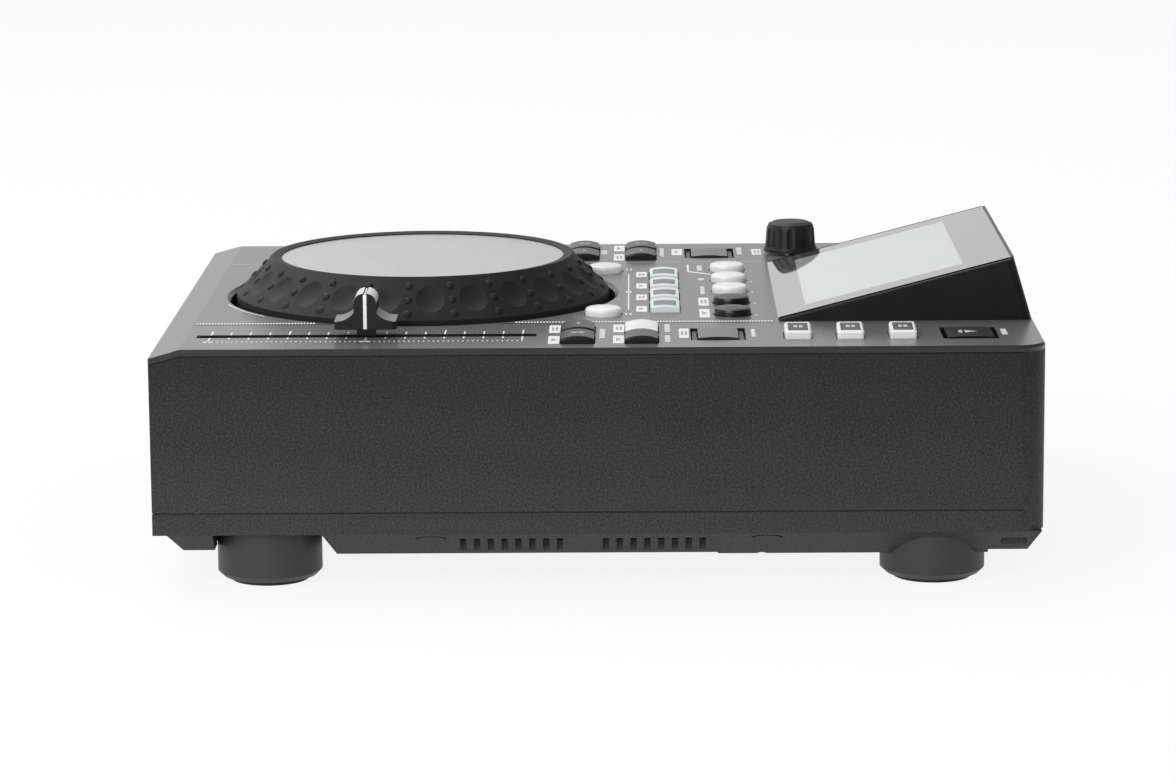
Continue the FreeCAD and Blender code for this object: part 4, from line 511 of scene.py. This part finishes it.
def arched_insert(name, node, length, width, low, crown, rise, material):
    """Window piece with the same arch as its key, seated in the key's recess."""
    centre = middle(node)
    body = frame["nodes"][node]["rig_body"]
    radius = (width / 2) ** 2 / (2 * rise) + rise / 2
    mesh_data = bmesh.new()
    columns = 8
    rows = 14
    bevel = 0.18
    top = []
    for row in range(rows + 1):
        y = -width / 2 + width * row / rows
        line = []
        for column in range(columns + 1):
            x = -length / 2 + length * column / columns
            z = crown - radius + math.sqrt(radius * radius - y * y)
            line.append(mesh_data.verts.new((centre.x + x, centre.y + y, z)))
        top.append(line)
    for row in range(rows):
        for column in range(columns):
            mesh_data.faces.new((top[row][column], top[row][column + 1], top[row + 1][column + 1],
                                 top[row + 1][column]))
    border = [edge for edge in mesh_data.edges if edge.is_boundary]
    made = bmesh.ops.extrude_edge_only(mesh_data, edges=border)["geom"]
    skirt = [thing for thing in made if isinstance(thing, bmesh.types.BMVert)]
    for vert in skirt:
        vert.co.z = low
    open_edges = [edge for edge in mesh_data.edges if edge.is_boundary]
    bmesh.ops.holes_fill(mesh_data, edges=open_edges)
    bmesh.ops.bevel(mesh_data, geom=border, offset=bevel, segments=2, affect="EDGES", profile=0.5)
    return finish_mesh(name, mesh_data, material, body)


# Drop and length of a source key's sloping top, and the height of the top's middle
SOURCE_DROP = 1.1
SOURCE_LENGTH = 12
SOURCE_HEIGHT = 2.95


def sloped_window(number):
    """Dark cap in the sunk window of a source key, parallel to the key's sloping top, with a sign on it."""
    node = "source_key_%d" % number
    body = frame["nodes"][node]["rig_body"]
    centre = middle(node)
    place = (Matrix.Translation((centre.x, centre.y, TOP + SOURCE_HEIGHT))
             @ Matrix.Rotation(math.atan2(SOURCE_DROP, SOURCE_LENGTH), 4, "Y"))
    cap = bmesh.new()
    add_solid(cap, round_rectangle(9.3, 6.3, 0.5), -0.3, -0.03, place)
    bmesh.ops.bevel(cap, geom=[edge for edge in cap.edges if edge.calc_face_angle(0) > 1], offset=0.08,
                    segments=2, affect="EDGES", profile=0.5)
    finish_mesh("source_window_%d" % number, cap, WINDOW_DARK, body)
    sign = bmesh.new()
    for outline in (rectangle(-1.6, 0.9, -1.4, -0.2), rectangle(-1.6, 0.9, 0.3, 1.5)):
        add_solid(sign, outline, -0.05, 0.0, place)
    finish_mesh("source_sign_%d" % number, sign, PRINT_DIM, body, smooth=False)


def key_well(name, node, inner, outer, low, high, material):
    """Frame round the foot of a key, on its flange."""
    centre = middle(node)
    mesh_data = bmesh.new()
    rings = []
    for (length, width), radius in ((inner, 0.3), (outer, 0.6)):
        outline = round_rectangle(length, width, radius, centre.x, centre.y)
        for height in (low, high):
            rings.append([mesh_data.verts.new((x, y, height)) for x, y in outline])
    inner_low, inner_high, outer_low, outer_high = rings
    count = len(inner_low)
    for first, second in ((inner_low, outer_low), (outer_low, outer_high), (outer_high, inner_high),
                          (inner_high, inner_low)):
        for index in range(count):
            following = (index + 1) % count
            mesh_data.faces.new((first[index], first[following], second[following], second[index]))
    return finish_mesh(name, mesh_data, material, frame["nodes"][node]["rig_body"])


def key_sign(name, node, outlines, material, level, height=0.05):
    """Thin printed sign on a key. Outlines are about the key's middle."""
    centre = middle(node)
    mesh_data = bmesh.new()
    for outline in outlines:
        add_solid(mesh_data, [(centre.x + x, centre.y + y) for x, y in outline], level - 0.05, level + height)
    body = frame["nodes"][node]["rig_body"]
    return finish_mesh(name, mesh_data, material, body, smooth=False)


for number in range(1, 5):
    node = "pad_key_%d" % number
    arched_insert("pad_window_%d" % number, node, 9.8, 7.2, TOP + 1.0, TOP + 1.85, 0.32, WINDOW_BLUE)
for number in range(1, 4):
    sloped_window(number)
for side in SIDES:
    key_well(side + "_mode_well", side + "_mode_key", (18.3, 13.7), (21.1, 16.4), TOP - 2.2, TOP - 0.95,
             WELL)
key_well("eject_well", "eject_key", (18.2, 15.2), (20.7, 17.7), TOP - 2.25, TOP - 1.9,
         MATERIALS["black_gloss"])
# Level of the signs on the pair keys
PAIR_SIGN = TOP + 2.46
for place in ("left_front", "left_rear", "right_front"):
    key_sign(place + "_arrows", place + "_outer_key",
             [[(-0.5, 0.6), (0.5, 0.6), (0, 2.2)], [(0.5, -0.6), (-0.5, -0.6), (0, -2.2)],
              rectangle(-0.16, 0.16, -0.7, 0.7)], PRINT, PAIR_SIGN, height=0.08)
    key_sign(place + "_dot", place + "_inner_key", [disc(0, 0, 0.55, steps=12)], PRINT, PAIR_SIGN,
             height=0.08)
key_sign("eject_sign", "eject_key",
         [rectangle(-2.2, 2.2, -3.4, -2.2), [(-2.2, -1.4), (2.2, -1.4), (0, 2.6)]], PRINT_DIM, TOP + 0.48)


# Dots on the wheel's flank, between its dimples


DIMPLES = 25
DIMPLE_TURN = math.radians(5.2)
# Share of the way up the flank and radius of each dot of a column
WHEEL_DOTS = ((0.16, 1.5), (0.48, 1.4), (0.8, 1.3))
# A dot is a dome of rings, with its foot sunk in the flank
DOT_RINGS = 5
DOT_SIDES = 14
DOT_RISE = 0.62
DOT_SINK = 0.2
DOT_CROWN = 0.42


def add_dome(mesh_data, radius, place):
    previous = None
    for ring in range(DOT_RINGS):
        tilt = math.pi / 2 * ring / DOT_RINGS
        rise = DOT_RISE * math.sin(tilt) - DOT_SINK
        line = [mesh_data.verts.new(place @ Vector((x, y, rise)))
                for x, y in disc(0, 0, radius * math.cos(tilt), DOT_SIDES)]
        if previous:
            for step in range(DOT_SIDES):
                following = (step + 1) % DOT_SIDES
                mesh_data.faces.new((previous[step], previous[following], line[following], line[step]))
        else:
            mesh_data.faces.new(line[::-1])
        previous = line
    crown = mesh_data.verts.new(place @ Vector((0, 0, DOT_CROWN)))
    for step in range(DOT_SIDES):
        mesh_data.faces.new((previous[step], previous[(step + 1) % DOT_SIDES], crown))


def wheel_dots():
    rim_radius = SKIRT_RADIUS - 11.8
    low = TOP + 1.2
    outward = math.atan2(RIM_TOP - low, SKIRT_RADIUS - rim_radius)
    mesh_data = bmesh.new()
    for column in range(DIMPLES):
        angle = DIMPLE_TURN + math.tau * (column + 0.5) / DIMPLES
        for share, radius in WHEEL_DOTS:
            flank = SKIRT_RADIUS - (SKIRT_RADIUS - rim_radius) * share
            height = low + (RIM_TOP - low) * share
            place = (Matrix.Translation((JOG.x, JOG.y, height)) @ Matrix.Rotation(angle, 4, "Z")
                     @ Matrix.Translation((flank, 0, 0)) @ Matrix.Rotation(outward, 4, "Y"))
            add_dome(mesh_data, radius, place)
    return finish_mesh("wheel_dots", mesh_data, MATERIALS["jog_rubber"], "jog_wheel")


wheel_dots()


# Light faces of painted reflection, and white line of the fader cap


def arc(start, end, radius, steps):
    """Points of an arc from start to end. It bulges to the right of its way if the radius is positive."""
    start = Vector(start)
    end = Vector(end)
    chord = end - start
    right = Vector((chord.y, -chord.x)).normalized() * math.copysign(1, radius)
    centre = (start + end) / 2 - right * math.sqrt(radius * radius - chord.length_squared / 4)
    first = start - centre
    sweep = first.angle_signed(end - centre)
    points = []
    for step in range(steps + 1):
        turn = -sweep * step / steps
        points.append(centre + Matrix.Rotation(turn, 2) @ first)
    return points


def skin(points, under, over):
    """Closed outline of a thin skin that follows a row of points."""
    outer = []
    inner = []
    for index, point in enumerate(points):
        before = points[max(index - 1, 0)]
        after = points[min(index + 1, len(points) - 1)]
        along = (after - before).normalized()
        out = Vector((along.y, -along.x))
        outer.append(point + out * over)
        inner.append(point - out * under)
    return outer + inner[::-1]


def fader_faces():
    """White line over the cap, and skins of painted reflection on it: pale on its two lobes and grey on its
    two shoulders.
    """
    low, high = box_mm("pitch_fader_cap")
    reach = (high.x - low.x) / 2
    line = bmesh.new()
    half_line = 0.55
    add_solid(line, rectangle(FADER.x - reach, FADER.x + reach + 0.05, FADER.y - half_line,
                              FADER.y + half_line), high.z - 0.55, high.z - 0.3)
    add_solid(line, rectangle(FADER.x + reach - 0.02, FADER.x + reach + 0.06, FADER.y - half_line,
                              FADER.y + half_line), low.z + 0.2, high.z - 0.3)
    finish_mesh("fader_line", line, MATERIALS["white_plastic"], "pitch_slider", smooth=False)
    # Local axes of a section: X to the rear, Y up, Z across the cap
    turned = Matrix(((0, 0, 1, FADER.x), (1, 0, 0, FADER.y), (0, 1, 0, TOP), (0, 0, 0, 1)))
    crown = high.z - TOP
    half_length = (high.y - low.y) / 2
    shoulder = low.z - TOP + 2.7
    neck = 3.6
    lobe = arc((neck, 11.5), (0.6, crown), 3.1, 10)
    scoop = arc((half_length - 0.1, shoulder + 0.05), (neck + 0.05, 8.6), -7, 10)
    end = reach - 0.15
    for name, points, material in (("fader_lobes", lobe, PAINTED_REFLECTION_LIGHT),
                                   ("fader_shoulders", scoop, PAINTED_REFLECTION_GREY)):
        mesh_data = bmesh.new()
        outline = skin(points, 0.2, 0.04)
        add_solid(mesh_data, outline, -end, end, turned)
        add_solid(mesh_data, [(-point[0], point[1]) for point in outline[::-1]], -end, end, turned)
        finish_mesh(name, mesh_data, material, "pitch_slider")


fader_faces()


# Display behind the glass, and soles


def slope_place():
    """Frame whose X and Y lie in the top of the glass, from the middle of its front edge."""
    thickness = 0.8
    front_top = Vector((0, GLASS_LOW.y, TOP + thickness * math.cos(TILT)))
    return Matrix.Translation(front_top) @ Matrix.Rotation(TILT, 4, "X")


# Pale sheet behind the glass: its colour paints the reflection of the bright surroundings on the dark display
def display_face():
    length = 94
    width = 53.2
    middle_y = 36.2
    mesh_data = bmesh.new()
    outline = round_rectangle(length, width, 0.6, 0, middle_y, steps=4)
    add_solid(mesh_data, outline, -0.3, 0.02, slope_place())
    return finish_mesh("display_face", mesh_data, MATERIALS["display"], PLAYER, smooth=False)


display_face()


def soles():
    radius = 12.44
    low = 0.001
    high = 1.48
    mesh_data = bmesh.new()
    for side in SIDES:
        for row in ("front", "rear"):
            centre = middle("foot_%s_%s" % (row, side))
            add_solid(mesh_data, disc(centre.x, centre.y, radius, steps=64), low, high)
    return finish_mesh("foot_soles", mesh_data, SOLE, PLAYER)


soles()


# Painted shade in the tray's bevels: crescents over the case screws, and black sheets behind the cooling
# slots

TRAY_HIGH = box_mm("bottom_tray")[1]
BEVEL_RUN = 9
BEVEL_RISE = 8.8
SKIRT = 18.2


def screw_shadow_arcs():
    """Thin black crescents at the top of each bevel: painted shadow over each case screw."""
    angle = math.atan2(BEVEL_RISE, BEVEL_RUN)
    mesh_data = bmesh.new()
    turns = [math.pi * step / 16 for step in range(17)]
    outline = ([(5.0 * math.cos(turn), 1.4 * math.sin(turn)) for turn in turns]
               + [(4.1 * math.cos(turn), 1.15 * math.sin(turn)) for turn in reversed(turns)])
    drop = 2.1
    for side in (1, -1):
        for y in (-53.2, 53.6):
            centre = Vector((side * (TRAY_HIGH.x - drop * BEVEL_RUN / BEVEL_RISE), y, SKIRT - drop))
            along = Vector((0, side, 0))
            up = Vector((side * math.cos(angle), 0, math.sin(angle)))
            out = along.cross(up)
            place = Matrix((along, up, out)).transposed().to_4x4()
            place.translation = centre
            add_solid(mesh_data, outline, -0.2, 0.03, place)
    return finish_mesh("screw_shadow_arcs", mesh_data, BLACK_SHADE_AND_TRIM, PLAYER, smooth=False)


screw_shadow_arcs()


def vent_shade_sheets():
    """Black sheets on the inner faces of the bevels, behind the cooling slots: painted shade inside the case.
    """
    wall = 2.5
    slope_length = math.hypot(BEVEL_RUN, BEVEL_RISE)
    rise = wall * slope_length / BEVEL_RUN
    foot = TRAY_HIGH.x - BEVEL_RUN
    start = foot + 0.6
    lower = Vector((start, SKIRT - BEVEL_RISE + rise + (start - foot) * BEVEL_RISE / BEVEL_RUN + 0.05))
    bend = Vector((foot + (SKIRT + 0.1 - lower.y) * BEVEL_RUN / BEVEL_RISE + start - foot, SKIRT + 0.1))
    end = Vector((TRAY_HIGH.x - 1.8, SKIRT + 0.1))
    points = [lower, bend, end]
    mesh_data = bmesh.new()
    for side in (1, -1):
        for front, rear in ((-45.6, -9.8), (-0.2, 35.6)):
            section = [(point.x, point.y) for point in points]
            section += [(point.x - 0.2, point.y + 0.5) for point in reversed(points)]
            turned = Matrix(((side, 0, 0, 0), (0, 0, 1, 0), (0, 1, 0, 0), (0, 0, 0, 1)))
            add_solid(mesh_data, section, front, rear, turned)
    return finish_mesh("vent_shade_sheets", mesh_data, BLACK_SHADE_AND_TRIM, PLAYER, smooth=False)


vent_shade_sheets()


def rim_strips():
    """Black seal between the glass and the housing, along the long edges of the glass."""
    mesh_data = bmesh.new()
    place = slope_place()
    half = (GLASS_HIGH.x - GLASS_LOW.x) / 2
    length = (GLASS_HIGH.y - GLASS_LOW.y) / math.cos(TILT)
    for side in (1, -1):
        edges = sorted((side * (half - 0.35), side * (half + 0.25)))
        add_solid(mesh_data, rectangle(edges[0], edges[1], 0.4, length - 0.4), -0.3, 0.05, place)
    return finish_mesh("glass_seal", mesh_data, BLACK_SHADE_AND_TRIM, PLAYER, smooth=False)


rim_strips()


# Stage


# How much of the floor's own white the camera and mirrors see, the rest being its shaded surface
WHITE_SHARE = 0.88


def make_floor():
    """White floor that keeps the shadow, and is darker in mirrors on the camera's side."""
    bpy.ops.mesh.primitive_plane_add(size=12, location=(0, 0, -0.0002))
    floor = bpy.context.object
    floor.name = "floor"
    material = bpy.data.materials.new("floor")
    material.use_nodes = True
    tree = material.node_tree
    tree.nodes.clear()
    output = tree.nodes.new("ShaderNodeOutputMaterial")
    diffuse = tree.nodes.new("ShaderNodeBsdfDiffuse")
    diffuse.inputs["Color"].default_value = (0.86, 0.86, 0.86, 1)
    glow = tree.nodes.new("ShaderNodeEmission")
    glow.inputs["Color"].default_value = (1, 1, 1, 1)
    path = tree.nodes.new("ShaderNodeLightPath")
    coordinates = tree.nodes.new("ShaderNodeTexCoord")
    split = tree.nodes.new("ShaderNodeSeparateXYZ")
    link(tree, coordinates, "Object", split, "Vector")
    fade = map_range(tree, split, "X", (0.15, 0.6), (0.0, 0.75))
    lost = maths(tree, "MULTIPLY", (path, "Is Glossy Ray"), (fade, "Result"))
    kept = maths(tree, "SUBTRACT", 1.0, (lost, "Value"))
    link(tree, kept, "Value", glow, "Strength")
    mirrored = maths(tree, "MAXIMUM", (path, "Is Glossy Ray"), (path, "Is Transmission Ray"))
    seen = maths(tree, "MAXIMUM", (path, "Is Camera Ray"), (mirrored, "Value"))
    share = maths(tree, "MULTIPLY", (seen, "Value"), WHITE_SHARE)
    mix = tree.nodes.new("ShaderNodeMixShader")
    link(tree, share, "Value", mix, "Fac")
    link(tree, diffuse, "BSDF", mix, 1)
    link(tree, glow, "Emission", mix, 2)
    link(tree, mix, "Shader", output, "Surface")
    floor.data.materials.append(material)


def make_world():
    """White background, softer for diffuse surfaces, and darker in mirrors on the camera's side."""
    world = bpy.data.worlds.new("studio")
    bpy.context.scene.world = world
    world.use_nodes = True
    tree = world.node_tree
    tree.nodes.clear()
    output = tree.nodes.new("ShaderNodeOutputWorld")
    coordinates = tree.nodes.new("ShaderNodeTexCoord")
    split = tree.nodes.new("ShaderNodeSeparateXYZ")
    link(tree, coordinates, "Generated", split, "Vector")
    side = map_range(tree, split, "X", (-0.2, 0.5), (1.0, 0.12))
    along = map_range(tree, split, "Y", (-0.1, 0.6), (1.0, 0.3))
    both = maths(tree, "MULTIPLY", (side, "Result"), (along, "Result"))
    mirror = tree.nodes.new("ShaderNodeBackground")
    link(tree, both, "Value", mirror, "Strength")
    soft = tree.nodes.new("ShaderNodeBackground")
    soft.inputs["Strength"].default_value = 0.75
    clean = tree.nodes.new("ShaderNodeBackground")
    clean.inputs["Strength"].default_value = 1.0
    path = tree.nodes.new("ShaderNodeLightPath")
    glossy = tree.nodes.new("ShaderNodeMixShader")
    link(tree, path, "Is Glossy Ray", glossy, "Fac")
    link(tree, soft, "Background", glossy, 1)
    link(tree, mirror, "Background", glossy, 2)
    seen = tree.nodes.new("ShaderNodeMixShader")
    link(tree, path, "Is Camera Ray", seen, "Fac")
    link(tree, glossy, "Shader", seen, 1)
    link(tree, clean, "Background", seen, 2)
    link(tree, seen, "Shader", output, "Surface")


def make_lamp(name, place, aim, size, power):
    data = bpy.data.lights.new(name, "AREA")
    data.shape = "SQUARE"
    data.size = size
    data.energy = power
    lamp = bpy.data.objects.new(name, data)
    lamp.location = place
    lamp.rotation_euler = (Vector(aim) - Vector(place)).to_track_quat("-Z", "Y").to_euler()
    bpy.context.scene.collection.objects.link(lamp)
    return lamp


def make_camera():
    """Level view of the slider side from a little above, with a long lens."""
    data = bpy.data.cameras.new("camera")
    data.sensor_width = 36
    data.lens = 128.148
    data.clip_start = 0.05
    data.clip_end = 30
    camera = bpy.data.objects.new("camera", data)
    yaw = -0.0127092
    pitch = 0.1872638
    roll = -0.0077333
    forward = Vector((-math.cos(yaw) * math.cos(pitch), math.sin(yaw) * math.cos(pitch), -math.sin(pitch)))
    across = forward.cross(Vector((0, 0, 1))).normalized()
    up = across.cross(forward)
    right = across * math.cos(roll) + up * math.sin(roll)
    upward = up * math.cos(roll) - across * math.sin(roll)
    turn = Matrix((right, upward, -forward)).transposed()
    camera.matrix_world = Matrix.Translation((1.4026, 0.013492, 0.309274)) @ turn.to_4x4()
    bpy.context.scene.collection.objects.link(camera)
    bpy.context.scene.camera = camera


LAMP_AIM = (0, 0, 0.05)

make_floor()
make_world()
make_lamp("key_light", (-0.6, -0.6, 1.35), LAMP_AIM, 1.4, 11)
make_lamp("side_light", (1.2, -0.6, 0.7), LAMP_AIM, 0.9, 12)
make_camera()

bpy.context.scene.view_settings.view_transform = "Standard"
